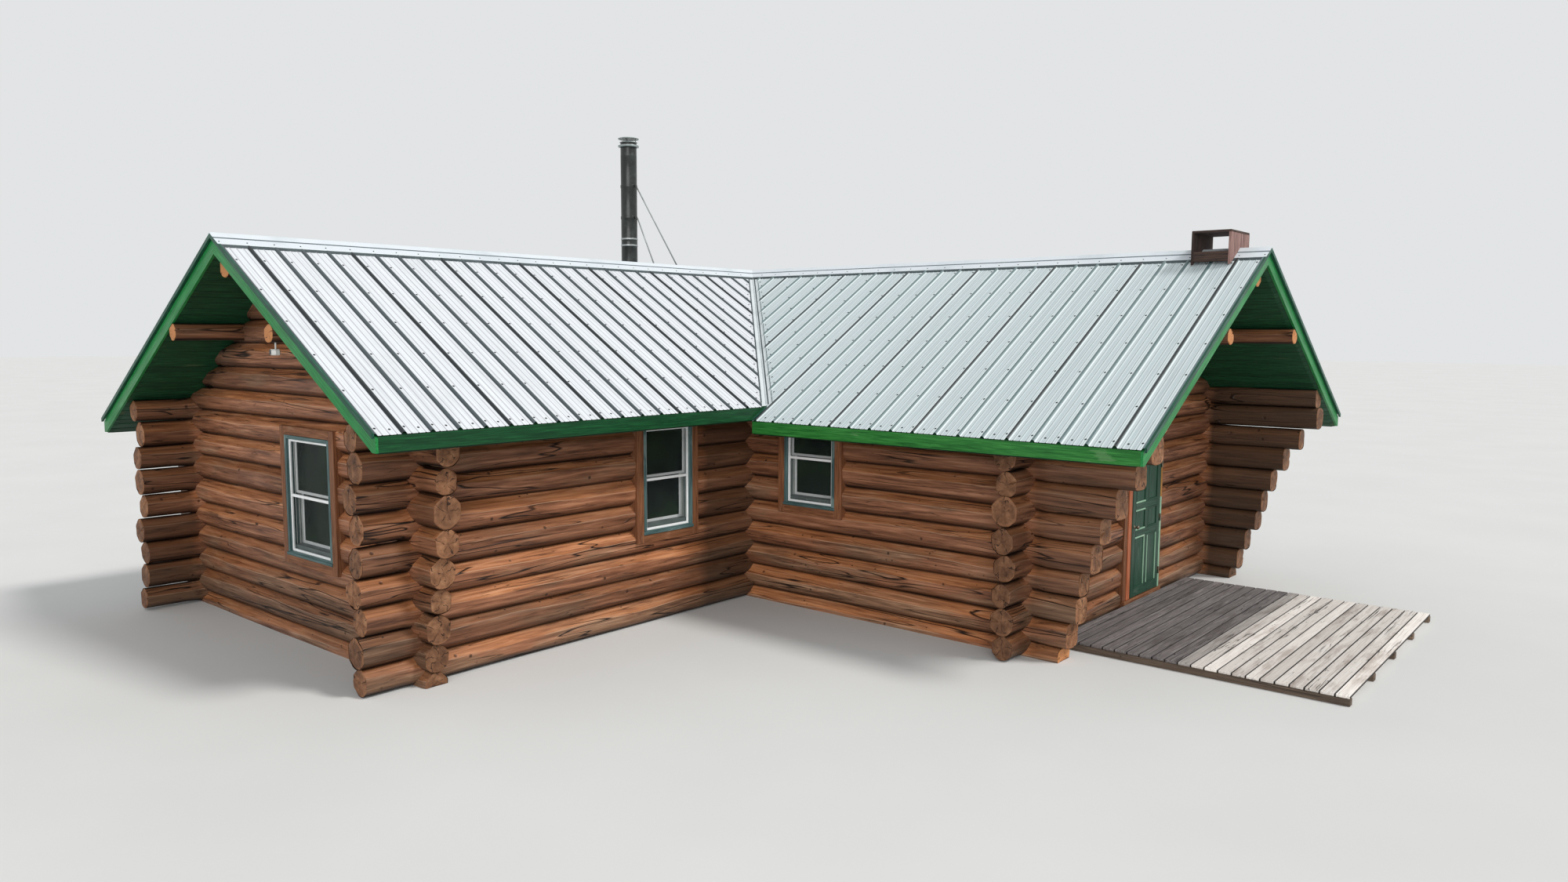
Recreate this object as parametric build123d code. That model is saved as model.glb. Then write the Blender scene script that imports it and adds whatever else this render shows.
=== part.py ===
from build123d import *
import math
import os

# An L-shaped log cabin, in mm, +Z up. Wing A runs along Y and has a gable at its -Y end. Wing B runs
# along +X and has the entry gable at its +X end. The origin is at the foot of the walls, where the
# axes of the two walls at the inner corner of the L cross.

# Plan of the log wall axes
WING_A_LENGTH = 5233
WING_A_WIDTH = 5450
WING_B_LENGTH = 4378
WING_B_WIDTH = 5750

# Roof planes, at the underside of the steel sheets
RIDGE_HEIGHT = 4797
RIDGE_A_X = -2497
RIDGE_B_Y = 2840
PITCH_A = 0.602
PITCH_B = 0.587
EAVE_A_EAST = 849
EAVE_A_WEST = 800
EAVE_B_SOUTH = 884
GABLE_OVERHANG_A = 943
GABLE_OVERHANG_B = 1742
LAPPED_EDGE_B = 28
ROOF_THICKNESS = 165
SHEET_LAYER_GAP = 3

# Log courses: each course of the X walls lies half a course above or below one of the Y walls
X_COURSES = [0, 310, 620, 930, 1240, 1565, 1895, 2210, 2525, 2830]
X_RADII = [160, 165, 165, 160, 172, 172, 178, 160, 172, 155]
Y_COURSES = [155, 465, 775, 1080, 1400, 1735, 2050, 2370, 2680, 2980]
Y_RADII = [165, 165, 165, 165, 175, 175, 170, 170, 165, 165]
GABLE_RISE = 300
GABLE_RADIUS = 165
COURSES_TO_WEST_PLATE = 9
SCRIBE_GAP = 0.4
LOG_END_SPREAD = 35

# How far the logs run on past the wall that they cross
STUB_A_GABLE = 515
STUB_A_EAST_ENDS = [270, 300, 340, 400, 455, 550, 570, 565, 605, 600]
STUB_A_EAST_WALL = 714
STUB_A_WEST_WALL = 805
STUB_B_ENTRY_WALL = 533
STUB_INNER_CORNER = 300
STUB_BACK_CORNER = 520
CORBEL_SOUTH_ENDS = [4900, 4990, 5100, 5120, 5260, 5350, 5530, 5730, 5900, 5950]
CORBEL_NORTH_ENDS = [4950, 5055, 5155, 5290, 5370, 5490, 5650, 5850, 6080, 6050]

# Roof timbers
RIDGE_POLE_RADIUS = 120
PURLIN_RADIUS = 100
PURLIN_DROP = 760
PURLIN_SETBACK = 130

# Steel roofing
SHEET_THICKNESS = 3
RIB_PITCH = 304.8
RIB_HEIGHT = 19
RIB_TOP_WIDTH = 22
RIB_BASE_WIDTH = 62
FIRST_RIB_A = 314
SHEET_EAVE_LAP = 22
VALLEY_GUTTER = 90
VALLEY_FLASHING_WIDTH = 210
RIDGE_CAP_WIDTH = 165
CAP_THICKNESS = 3
HIP_CAP_SETBACK = 12

# Eave and rake boards
FASCIA_HEIGHT = 157
FASCIA_THICKNESS = 25
RAKE_DEPTH = 200
RAKE_THICKNESS = 28

# Windows: name, wall axis, centre along the wall, sill height, width and height of the green frame
WINDOW_WIDTH = 860
WINDOW_HEIGHT = 1390
GABLE_WINDOW_WIDTH = 1080
GABLE_WINDOW_HEIGHT = 1450
SHORT_WINDOW_HEIGHT = 1300
CASING_WIDTH = 110
CASING_PROUD = 12
FRAME_WIDTH = 45
FRAME_DEPTH = 120
SASH_WIDTH = 42
SASH_DEPTH = 40
MEETING_RAIL = 38
GLASS_THICKNESS = 6
LOG_HALF_THICKNESS = 178

# Entry door
DOOR_CENTRE_Y = 3200
DOOR_WIDTH = 960
DOOR_HEIGHT = 2010
DOOR_THICKNESS = 45
DOOR_GAP = 6
HEAD_THICKNESS = 60
SOUTH_JAMB_WIDTH = 225
NORTH_JAMB_WIDTH = 90
JAMB_DEPTH = 300
THRESHOLD_TOP = 150
THRESHOLD_NOSE = 20
STOP_THICKNESS = 14
HINGE_PIN_RADIUS = 6
HINGE_KNUCKLE_RADIUS = 11
HINGE_HEIGHT = 100
HINGE_RUNNING_GAP = 0.5
HINGE_FACE_GAP = 0.4
HINGE_PLATE_THICKNESS = 3
HINGE_PLATE_WIDTH = 36

# Floor and entry deck
FLOOR_TOP = 190
FLOOR_THICKNESS = 50
FLOOR_JOIST_WIDTH = 90
FLOOR_JOIST_SPACING = 1150
DECK_TOP = 110
DECK_BOARD_THICKNESS = 34
DECK_END_X = 7800
DECK_START_Y = 450
DECK_END_Y = 4750
DECK_SLEEPER_WIDTH = 90
DECK_SLEEPERS = 5

# Stove pipe, behind the ridge of wing A
PIPE_X = -3060
PIPE_Y = 500
PIPE_RADIUS = 130
PIPE_WALL = 25
PIPE_TOP = 6760
PIPE_BAND_HEIGHT = 5130
CAP_RADIUS = 165
CAP_LEG_HEIGHT = 70
BRACE_RADIUS = 11
BRACE_FEET_Y = [1340, 790]
BRACE_HEIGHTS = [6050, 5555]
BRACE_FOOT_X = -2720

# Wooden chimney box astride the ridge of wing B
BOX_START_X = 5275
BOX_END_X = 5760
BOX_HALF_LENGTH = 350
BOX_TOP = 5045
BOX_BOARD = 28
BOX_APRON_HEIGHT = 112

# Small camera under the end of the east purlin of wing A
CAMERA_SETBACK = 70
CAMERA_DROP = 105
CAMERA_BODY = (130, 64, 64)

SKY = 9000
FAR = 20000


class Slope:
    """One roof plane: the direction it falls in, its ridge line and its outline in plan."""

    def __init__(self, along, sign, ridge, pitch, outline):
        self.along = along
        self.sign = sign
        self.ridge = ridge
        self.pitch = pitch
        self.outline = outline
        self.stretch = math.hypot(1, pitch)

    def height(self, place):
        return RIDGE_HEIGHT - self.pitch * abs(place - self.ridge)

    def place(self, height):
        return self.ridge + self.sign * (RIDGE_HEIGHT - height) / self.pitch

    def band(self, low, high):
        """A slab between two distances from the roof plane, measured square to it."""
        inner = self.ridge - self.sign * 600
        outer = self.ridge + self.sign * 5000
        rise = RIDGE_HEIGHT + self.pitch * 600
        foot = RIDGE_HEIGHT - self.pitch * 5000
        corners = [
            (inner, rise + low * self.stretch),
            (outer, foot + low * self.stretch),
            (outer, foot + high * self.stretch),
            (inner, rise + high * self.stretch),
        ]
        return upright_prism(self.along, corners, -FAR / 2, FAR / 2)

    def layer(self, low, high, outline=None):
        return one_solid(self.band(low, high) & plan_prism(outline or self.outline))

    def space_above(self, low):
        return self.layer(low, SKY)


def plan_prism(outline, bottom=-100, top=SKY):
    face = make_face(Polyline(*[(x, y, bottom) for x, y in outline], close=True))
    return Solid(extrude(face, top - bottom, dir=(0, 0, 1)).solids()[0].wrapped)


def upright_prism(along, corners, start, end):
    """A prism with its outline in the XZ plane for along 'x', or in the YZ plane for along 'y'."""
    if along == "x":
        points = [(across, start, height) for across, height in corners]
        direction = (0, 1, 0)
    else:
        points = [(start, across, height) for across, height in corners]
        direction = (1, 0, 0)
    face = make_face(Polyline(*points, close=True))
    return Solid(extrude(face, end - start, dir=direction).solids()[0].wrapped)


def box_between(low, high):
    size = [high[i] - low[i] for i in range(3)]
    return Solid.make_box(*size, Plane(origin=low))


def rod(start, end, radius):
    path = Vector(*end) - Vector(*start)
    return Solid.make_cylinder(radius, path.length, Plane(origin=start, z_dir=path))


def one_solid(shape):
    return shape.solids().sort_by(SortBy.VOLUME)[-1]


def cut(solids, tools):
    """Cuts every solid by the tools near it, and keeps all the pieces that are left."""
    kept = []
    for solid in solids:
        near = [tool for tool in tools if boxes_meet(solid, tool)]
        result = solid.cut(*near) if near else solid
        kept += [piece for piece in result.solids() if piece.volume > 1e5]
    return kept


def boxes_meet(one, other):
    a = one.bounding_box()
    b = other.bounding_box()
    return all((a.min.X < b.max.X, b.min.X < a.max.X, a.min.Y < b.max.Y,
                b.min.Y < a.max.Y, a.min.Z < b.max.Z, b.min.Z < a.max.Z))


def write(name, solids):
    export_step(Compound(children=list(solids)), f"parts/{name}.step")


# Plan of the roof. The north eave is as low as the west one, so that the hip between them is level
# at its foot.
wall_a_gable = -WING_A_LENGTH
wall_a_west = -WING_A_WIDTH
wall_b_entry = WING_B_LENGTH
wall_b_north = WING_B_WIDTH
rake_a = wall_a_gable - GABLE_OVERHANG_A
rake_b = wall_b_entry + GABLE_OVERHANG_B
eave_west = wall_a_west - EAVE_A_WEST
low_eave = RIDGE_HEIGHT - PITCH_A * (RIDGE_A_X - eave_west)
eave_north = RIDGE_B_Y + (RIDGE_HEIGHT - low_eave) / PITCH_B
eave_east = EAVE_A_EAST
eave_south = -EAVE_B_SOUTH
junction = (RIDGE_A_X, RIDGE_B_Y)
lapped_edge = eave_east + LAPPED_EDGE_B


def valley_y(x):
    return RIDGE_B_Y - PITCH_A * (x - RIDGE_A_X) / PITCH_B


def hip_y(x):
    return RIDGE_B_Y + PITCH_A * (RIDGE_A_X - x) / PITCH_B


SLOPES = {
    "a_east": Slope("x", 1, RIDGE_A_X, PITCH_A, [
        (RIDGE_A_X, rake_a), (eave_east, rake_a), (eave_east, valley_y(eave_east)), junction]),
    "a_west": Slope("x", -1, RIDGE_A_X, PITCH_A, [
        (RIDGE_A_X, rake_a), junction, (eave_west, eave_north), (eave_west, rake_a)]),
    "b_south": Slope("y", -1, RIDGE_B_Y, PITCH_B, [
        junction, (lapped_edge, valley_y(lapped_edge)), (lapped_edge, eave_south),
        (rake_b, eave_south), (rake_b, RIDGE_B_Y)]),
    "b_north": Slope("y", 1, RIDGE_B_Y, PITCH_B, [
        junction, (rake_b, RIDGE_B_Y), (rake_b, eave_north), (eave_west, eave_north)]),
}
soffit = -SHEET_LAYER_GAP - ROOF_THICKNESS
attics = [slope.space_above(soffit) for slope in SLOPES.values()]


def soffit_height(slope, place):
    return slope.height(place) + soffit * slope.stretch


class Log:
    """A round log of one course, level and square to the wall that it crosses."""

    def __init__(self, along, across, height, start, end, radius):
        self.along = along
        self.across = across
        self.height = height
        self.start = start
        self.end = end
        self.radius = radius

    def solid(self, extra=0):
        if self.along == "x":
            ends = ((self.start, self.across, self.height), (self.end, self.across, self.height))
        else:
            ends = ((self.across, self.start, self.height), (self.across, self.end, self.height))
        return rod(*ends, self.radius + extra)

    def lies_on(self, lower):
        """True where this log bears on the lower one, in its own wall or at a crossing."""
        reach = self.radius + lower.radius
        if not 0 < self.height - lower.height < reach:
            return False
        if self.along == lower.along:
            return abs(self.across - lower.across) < reach
        crosses = self.start - reach < lower.across < self.end + reach
        return crosses and lower.start - reach < self.across < lower.end + reach


def uneven(course, seed):
    """Log ends don't line up: each course is a little longer or shorter than the next."""
    return LOG_END_SPREAD * math.sin(2.4 * course + seed)


def course_logs(along, across, first, last, ends):
    """The logs of one wall, where ends(course) gives both ends of a course."""
    heights = X_COURSES if along == "x" else Y_COURSES
    radii = X_RADII if along == "x" else Y_RADII
    logs = []
    for course in range(first, last):
        if course < len(heights):
            height = heights[course]
            radius = radii[course]
        else:
            height = heights[-1] + GABLE_RISE * (course - len(heights) + 1)
            radius = GABLE_RADIUS
        start, end = ends(course)
        logs.append(Log(along, across, height, start, end, radius))
    return logs


COURSES = len(X_COURSES)
GABLE_COURSES = COURSES + 5


def gable_a_ends(course):
    return wall_a_west - STUB_A_GABLE + uneven(course, 1), STUB_A_EAST_ENDS[min(course, COURSES - 1)]


def east_a_ends(course):
    return wall_a_gable - STUB_A_EAST_WALL + uneven(course, 3), STUB_INNER_CORNER


def west_a_ends(course):
    start = wall_a_gable - STUB_A_WEST_WALL + uneven(course, 4)
    return start, wall_b_north + STUB_BACK_CORNER + uneven(course, 5)


def south_b_ends(course):
    return -STUB_INNER_CORNER, CORBEL_SOUTH_ENDS[course]


def north_b_ends(course):
    return wall_a_west - STUB_BACK_CORNER + uneven(course, 6), CORBEL_NORTH_ENDS[course]


def entry_ends(course):
    start = -STUB_B_ENTRY_WALL + uneven(course, 7)
    return start, wall_b_north + STUB_BACK_CORNER + uneven(course, 8)


WALLS = {
    "gable_wall_a": course_logs("x", wall_a_gable, 0, GABLE_COURSES, gable_a_ends),
    "east_wall_a": course_logs("y", 0, 0, COURSES, east_a_ends),
    "west_wall_a": course_logs("y", wall_a_west, 0, COURSES_TO_WEST_PLATE, west_a_ends),
    "south_wall_b": course_logs("x", 0, 0, COURSES, south_b_ends),
    "north_wall_b": course_logs("x", wall_b_north, 0, COURSES, north_b_ends),
    "entry_wall_b": course_logs("y", wall_b_entry, 0, GABLE_COURSES, entry_ends),
}


# Ridge poles and purlins, under the roof boards and let into the gable walls
def pole_height(slope, place, radius):
    return soffit_height(slope, place) - (radius + SCRIBE_GAP) * slope.stretch


def pole_solid(along, across, height, start, end, radius):
    return Log(along, across, height, start, end, radius).solid()


pole_end_a = rake_a + PURLIN_SETBACK
pole_end_b = rake_b - PURLIN_SETBACK
east = SLOPES["a_east"]
west = SLOPES["a_west"]
south = SLOPES["b_south"]
north = SLOPES["b_north"]
purlin_height = RIDGE_HEIGHT - PURLIN_DROP
purlin_east_x = east.place(purlin_height)
purlin_west_x = west.place(purlin_height)
purlin_south_y = south.place(purlin_height)
purlin_north_y = north.place(purlin_height)
MITRE_RUN = 400


def make_poles():
    ridge_height_a = pole_height(east, RIDGE_A_X, RIDGE_POLE_RADIUS)
    ridge_height_b = pole_height(south, RIDGE_B_Y, RIDGE_POLE_RADIUS)
    height_a = pole_height(east, purlin_east_x, PURLIN_RADIUS)
    height_b = pole_height(south, purlin_south_y, PURLIN_RADIUS)
    ridge_a = pole_solid("y", RIDGE_A_X, ridge_height_a, pole_end_a,
                         RIDGE_B_Y - RIDGE_POLE_RADIUS - SCRIBE_GAP, RIDGE_POLE_RADIUS)
    ridge_b = pole_solid("x", RIDGE_B_Y, ridge_height_b, RIDGE_A_X - RIDGE_POLE_RADIUS, pole_end_b,
                         RIDGE_POLE_RADIUS)
    east_pole = pole_solid("y", purlin_east_x, height_a, pole_end_a,
                           purlin_south_y + MITRE_RUN, PURLIN_RADIUS)
    west_pole = pole_solid("y", purlin_west_x, height_a, pole_end_a,
                           purlin_north_y + MITRE_RUN, PURLIN_RADIUS)
    south_pole = pole_solid("x", purlin_south_y, height_b, purlin_east_x - MITRE_RUN,
                            pole_end_b, PURLIN_RADIUS)
    north_pole = pole_solid("x", purlin_north_y, height_b, purlin_west_x - MITRE_RUN,
                            pole_end_b, PURLIN_RADIUS)
    return {
        "ridge_pole_a": cut([ridge_a], attics),
        "ridge_pole_b": cut([ridge_b], attics),
        "purlin_a_east": [one_solid(east_pole & plan_prism(east.outline))],
        "purlin_a_west": [one_solid(west_pole & plan_prism(west.outline))],
        "purlin_b_south": [one_solid(south_pole & plan_prism(south.outline))],
        "purlin_b_north": [one_solid(north_pole & plan_prism(north.outline))],
    }


# Windows
class Window:
    """A double-hung window in a plank casing that is let into the whole depth of a log wall."""

    def __init__(self, name, along, wall, centre, sill, width, height, outside):
        self.name = name
        self.along = along
        self.wall = wall
        self.centre = centre
        self.sill = sill
        self.width = width
        self.height = height
        self.outside = outside

    def block(self, half_width, bottom, top, inner, outer):
        """A box from inner to outer, both measured outwards from the wall's axis."""
        near, far = sorted((self.wall + self.outside * inner, self.wall + self.outside * outer))
        left = self.centre - half_width
        right = self.centre + half_width
        if self.along == "x":
            return box_between((left, near, bottom), (right, far, top))
        return box_between((near, left, bottom), (far, right, top))

    def ring(self, half_width, bottom, top, rim, inner, outer):
        whole = self.block(half_width, bottom, top, inner, outer)
        hole = self.block(half_width - rim, bottom + rim, top - rim, inner - 1, outer + 1)
        return one_solid(whole - hole)

    def opening(self):
        return self.block(self.width / 2 + CASING_WIDTH, self.sill - CASING_WIDTH,
                          self.sill + self.height + CASING_WIDTH, -400, 400)

    def casing(self):
        depth = LOG_HALF_THICKNESS + CASING_PROUD
        return self.ring(self.width / 2 + CASING_WIDTH, self.sill - CASING_WIDTH,
                         self.sill + self.height + CASING_WIDTH, CASING_WIDTH, -depth, depth)

    def frame(self):
        face = LOG_HALF_THICKNESS + CASING_PROUD
        return self.ring(self.width / 2, self.sill, self.sill + self.height, FRAME_WIDTH,
                         face - FRAME_DEPTH, face)

    def sash_and_glass(self):
        """White storm sash with a meeting rail at mid height, and its two panes."""
        back = LOG_HALF_THICKNESS - FRAME_DEPTH / 2
        face = back + SASH_DEPTH
        half = self.width / 2 - FRAME_WIDTH
        bottom = self.sill + FRAME_WIDTH
        top = self.sill + self.height - FRAME_WIDTH
        middle = (bottom + top) / 2
        rail = self.block(half - SASH_WIDTH, middle - MEETING_RAIL / 2, middle + MEETING_RAIL / 2,
                          back, face)
        sash = one_solid(self.ring(half, bottom, top, SASH_WIDTH, back, face) + rail)
        pane_back = (back + face - GLASS_THICKNESS) / 2
        panes = [
            self.block(half - SASH_WIDTH, bottom + SASH_WIDTH, middle - MEETING_RAIL / 2,
                       pane_back, pane_back + GLASS_THICKNESS),
            self.block(half - SASH_WIDTH, middle + MEETING_RAIL / 2, top - SASH_WIDTH,
                       pane_back, pane_back + GLASS_THICKNESS),
        ]
        return sash, panes


WINDOWS = [
    Window("gable_a", "x", wall_a_gable, -2055, 1060, GABLE_WINDOW_WIDTH, GABLE_WINDOW_HEIGHT, -1),
    Window("east_a", "y", 0, -1750, 1180, WINDOW_WIDTH, WINDOW_HEIGHT, 1),
    Window("south_b", "x", 0, 1252, 1412, WINDOW_WIDTH, SHORT_WINDOW_HEIGHT, -1),
    Window("west_a_front", "y", wall_a_west, -2900, 1060, WINDOW_WIDTH, SHORT_WINDOW_HEIGHT, -1),
    Window("west_a_back", "y", wall_a_west, 2700, 1060, WINDOW_WIDTH, SHORT_WINDOW_HEIGHT, -1),
    Window("north_b", "x", wall_b_north, 1252, 1180, WINDOW_WIDTH, SHORT_WINDOW_HEIGHT, 1),
]


# Entry door. The leaf swings out about a pin that stands proud of its outer face.
door_south = DOOR_CENTRE_Y - DOOR_WIDTH / 2
door_north = DOOR_CENTRE_Y + DOOR_WIDTH / 2
leaf_bottom = THRESHOLD_TOP + DOOR_GAP
leaf_top = leaf_bottom + DOOR_HEIGHT
frame_inner_top = leaf_top + DOOR_GAP
wall_face = wall_b_entry + LOG_HALF_THICKNESS
leaf_face = wall_face
leaf_back = leaf_face - DOOR_THICKNESS
jamb_back = wall_face - JAMB_DEPTH
rough_south = door_south - DOOR_GAP - SOUTH_JAMB_WIDTH
rough_north = door_north + DOOR_GAP + NORTH_JAMB_WIDTH
rough_top = frame_inner_top + HEAD_THICKNESS
hinge_x = leaf_face + HINGE_KNUCKLE_RADIUS + HINGE_FACE_GAP
hinge_y = door_north + DOOR_GAP / 2
hinge_heights = [leaf_bottom + share * DOOR_HEIGHT for share in (0.12, 0.5, 0.88)]


def doorway():
    return box_between((wall_b_entry - 400, rough_south, -10), (wall_b_entry + 400, rough_north,
                                                                rough_top))


def door_frame():
    """Side jambs and head with a stop behind the leaf, on a threshold that crosses the wall."""
    south_jamb = box_between((jamb_back, rough_south, THRESHOLD_TOP),
                             (wall_face, door_south - DOOR_GAP, rough_top))
    north_jamb = box_between((jamb_back, door_north + DOOR_GAP, THRESHOLD_TOP),
                             (wall_face, rough_north, rough_top))
    head = box_between((jamb_back, rough_south, frame_inner_top),
                       (wall_face, rough_north, rough_top))
    stop_face = leaf_back - DOOR_GAP
    stop_depth = 40
    stop_south = box_between((stop_face - stop_depth, door_south - DOOR_GAP, THRESHOLD_TOP),
                             (stop_face, door_south + STOP_THICKNESS, frame_inner_top))
    stop_north = box_between((stop_face - stop_depth, door_north - STOP_THICKNESS, THRESHOLD_TOP),
                             (stop_face, door_north + DOOR_GAP, frame_inner_top))
    stop_head = box_between((stop_face - stop_depth, door_south - DOOR_GAP,
                             leaf_top - STOP_THICKNESS),
                            (stop_face, door_north + DOOR_GAP, frame_inner_top))
    jambs = [one_solid(south_jamb + stop_south), one_solid(north_jamb + stop_north)]
    head_piece = cut([one_solid(head + stop_head)], jambs)
    return jambs + head_piece


def door_threshold():
    return box_between((wall_b_entry - Y_RADII[0], rough_south, 0),
                       (wall_face + THRESHOLD_NOSE, rough_north, THRESHOLD_TOP))


PANEL_COLUMNS = 2
PANEL_ROWS = 3
STILE_WIDTH = 110
PANEL_RECESS = 8


def door_leaf():
    leaf = box_between((leaf_back, door_south, leaf_bottom), (leaf_face, door_north, leaf_top))
    panel_width = (DOOR_WIDTH - STILE_WIDTH * (PANEL_COLUMNS + 1)) / PANEL_COLUMNS
    panel_height = (DOOR_HEIGHT - STILE_WIDTH * (PANEL_ROWS + 1)) / PANEL_ROWS
    for column in range(PANEL_COLUMNS):
        for row in range(PANEL_ROWS):
            low_y = door_south + STILE_WIDTH + column * (panel_width + STILE_WIDTH)
            low_z = leaf_bottom + STILE_WIDTH + row * (panel_height + STILE_WIDTH)
            for inner, outer in ((leaf_face - PANEL_RECESS, leaf_face + 1),
                                 (leaf_back - 1, leaf_back + PANEL_RECESS)):
                leaf = leaf - box_between((inner, low_y, low_z),
                                          (outer, low_y + panel_width, low_z + panel_height))
    return one_solid(leaf)


KNUCKLE_SPLIT_GAP = 1


def hinge_pieces():
    """Butt hinges: the lower knuckle and pin stay on the jamb, the upper knuckle on the leaf."""
    fixed = []
    swinging = []
    half = HINGE_HEIGHT / 2
    plate_face = leaf_face + HINGE_PLATE_THICKNESS
    for height in hinge_heights:
        barrel = rod((hinge_x, hinge_y, height - half), (hinge_x, hinge_y, height),
                     HINGE_KNUCKLE_RADIUS)
        pin = rod((hinge_x, hinge_y, height - 1), (hinge_x, hinge_y, height + half),
                  HINGE_PIN_RADIUS)
        jamb_plate = box_between((leaf_face, hinge_y + DOOR_GAP / 2, height - half),
                                 (plate_face, hinge_y + HINGE_PLATE_WIDTH, height))
        fixed.append(one_solid(barrel + pin + jamb_plate))
        top_barrel = rod((hinge_x, hinge_y, height + KNUCKLE_SPLIT_GAP),
                         (hinge_x, hinge_y, height + half), HINGE_KNUCKLE_RADIUS)
        leaf_plate = box_between((leaf_face, hinge_y - HINGE_PLATE_WIDTH,
                                  height + KNUCKLE_SPLIT_GAP),
                                 (plate_face, hinge_y - DOOR_GAP / 2, height + half))
        bore = rod((hinge_x, hinge_y, height - half), (hinge_x, hinge_y, height + HINGE_HEIGHT),
                   HINGE_PIN_RADIUS + HINGE_RUNNING_GAP)
        swinging.append(one_solid(top_barrel + leaf_plate - bore))
    return fixed, swinging


HANDLE_HEIGHT = 980
HANDLE_SETBACK = 62
HANDLE_ROSE_RADIUS = 30
HANDLE_NECK_RADIUS = 10
HANDLE_NECK_LENGTH = 38
HANDLE_KNOB_RADIUS = 27
HANDLE_KNOB_LENGTH = 34


def door_handles():
    """A round knob on a neck and a rose, on each face of the leaf."""
    y = door_south + HANDLE_SETBACK
    z = leaf_bottom + HANDLE_HEIGHT
    handles = []
    for face, way in ((leaf_face, 1), (leaf_back, -1)):
        outward = Plane(origin=(face, y, z), z_dir=(way, 0, 0))

        rose = Solid.make_cylinder(HANDLE_ROSE_RADIUS, 6, outward)
        neck = Solid.make_cylinder(HANDLE_NECK_RADIUS, HANDLE_NECK_LENGTH + 1, outward)
        knob = Solid.make_cylinder(HANDLE_KNOB_RADIUS, HANDLE_KNOB_LENGTH,
                                   outward.offset(HANDLE_NECK_LENGTH))
        handles.append(one_solid(rose + neck + knob))
    return handles


# Floor and entry deck
def floor_pieces():
    edge = Y_RADII[0] + SCRIBE_GAP
    inside = [
        (wall_a_west + edge, wall_a_gable + edge), (-edge, wall_a_gable + edge), (-edge, edge),
        (wall_b_entry - edge, edge), (wall_b_entry - edge, wall_b_north - edge),
        (wall_a_west + edge, wall_b_north - edge)]
    stubs = [box_between((-STUB_INNER_CORNER - 20, -edge, 0), (edge, STUB_INNER_CORNER + 20, SKY)),
             box_between((-edge, -STUB_INNER_CORNER, 0), (edge, edge, SKY))]
    wing_joint = box_between((-edge, -edge, 0), (SCRIBE_GAP - edge, FAR, SKY))
    boards = cut([plan_prism(inside, FLOOR_TOP - FLOOR_THICKNESS, FLOOR_TOP)],
                 stubs + [wing_joint])
    joists = []
    joist_top = FLOOR_TOP - FLOOR_THICKNESS
    start = wall_a_gable + edge
    count = math.floor((wall_b_north - wall_a_gable - 2 * edge) / FLOOR_JOIST_SPACING)
    spacing = (wall_b_north - wall_a_gable - 2 * edge - FLOOR_JOIST_WIDTH) / count
    for number in range(count + 1):
        low_y = start + number * spacing
        high_y = low_y + FLOOR_JOIST_WIDTH
        far_x = -edge if low_y < edge + STUB_INNER_CORNER else wall_b_entry - edge
        far_x = -STUB_INNER_CORNER - 20 if -edge < high_y and low_y < edge + 20 else far_x
        joists.append(box_between((wall_a_west + edge, low_y, 0), (far_x, high_y, joist_top)))
    return boards, joists


def deck_pieces():
    under = DECK_TOP - DECK_BOARD_THICKNESS
    start_x = wall_face + THRESHOLD_NOSE + SCRIBE_GAP
    boards = box_between((start_x, DECK_START_Y, under), (DECK_END_X, DECK_END_Y, DECK_TOP))
    sleepers = []
    spacing = (DECK_END_Y - DECK_START_Y - DECK_SLEEPER_WIDTH) / (DECK_SLEEPERS - 1)
    for number in range(DECK_SLEEPERS):
        low_y = DECK_START_Y + number * spacing
        sleepers.append(box_between((start_x, low_y, 0),
                                    (DECK_END_X, low_y + DECK_SLEEPER_WIDTH, under)))
    return [boards], sleepers


# Steel roofing
def ribbed_sheet(slope, first_rib, start, end, outline):
    """A sheet with hollow trapezoid ribs that run down the slope, cut to its outline in plan."""
    ribs = []
    rib = first_rib
    while rib + RIB_BASE_WIDTH / 2 < end:
        if rib - RIB_BASE_WIDTH / 2 > start:
            ribs.append(rib)
        rib += RIB_PITCH
    top = [(start, SHEET_THICKNESS)]
    bottom = [(start, 0)]
    inset = SHEET_THICKNESS
    for rib in ribs:
        foot = RIB_BASE_WIDTH / 2
        crest = RIB_TOP_WIDTH / 2
        top += [(rib - foot, SHEET_THICKNESS), (rib - crest, RIB_HEIGHT),
                (rib + crest, RIB_HEIGHT), (rib + foot, SHEET_THICKNESS)]
        bottom += [(rib - foot + inset, 0), (rib - crest + inset / 2, RIB_HEIGHT - inset),
                   (rib + crest - inset / 2, RIB_HEIGHT - inset), (rib + foot - inset, 0)]
    top.append((end, SHEET_THICKNESS))
    bottom.append((end, 0))
    if slope.along == "x":
        origin = (slope.ridge, 0, RIDGE_HEIGHT)
        sideways = (0, 1, 0)
        downhill = (slope.sign, 0, -slope.pitch)
    else:
        origin = (0, slope.ridge, RIDGE_HEIGHT)
        sideways = (1, 0, 0)
        downhill = (0, slope.sign, -slope.pitch)
    plane = Plane(origin=origin, x_dir=sideways, z_dir=downhill)
    turn = 1 if plane.y_dir.Z > 0 else -1
    points = [plane.from_local_coords((u, turn * v, 0)) for u, v in top + bottom[::-1]]
    face = make_face(Polyline(*[tuple(point) for point in points], close=True))
    unit = Vector(*downhill).normalized()
    face = face.translate(unit * -600)
    long_sheet = extrude(face, 6000, dir=tuple(unit))
    return one_solid(long_sheet & plan_prism(outline))


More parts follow.
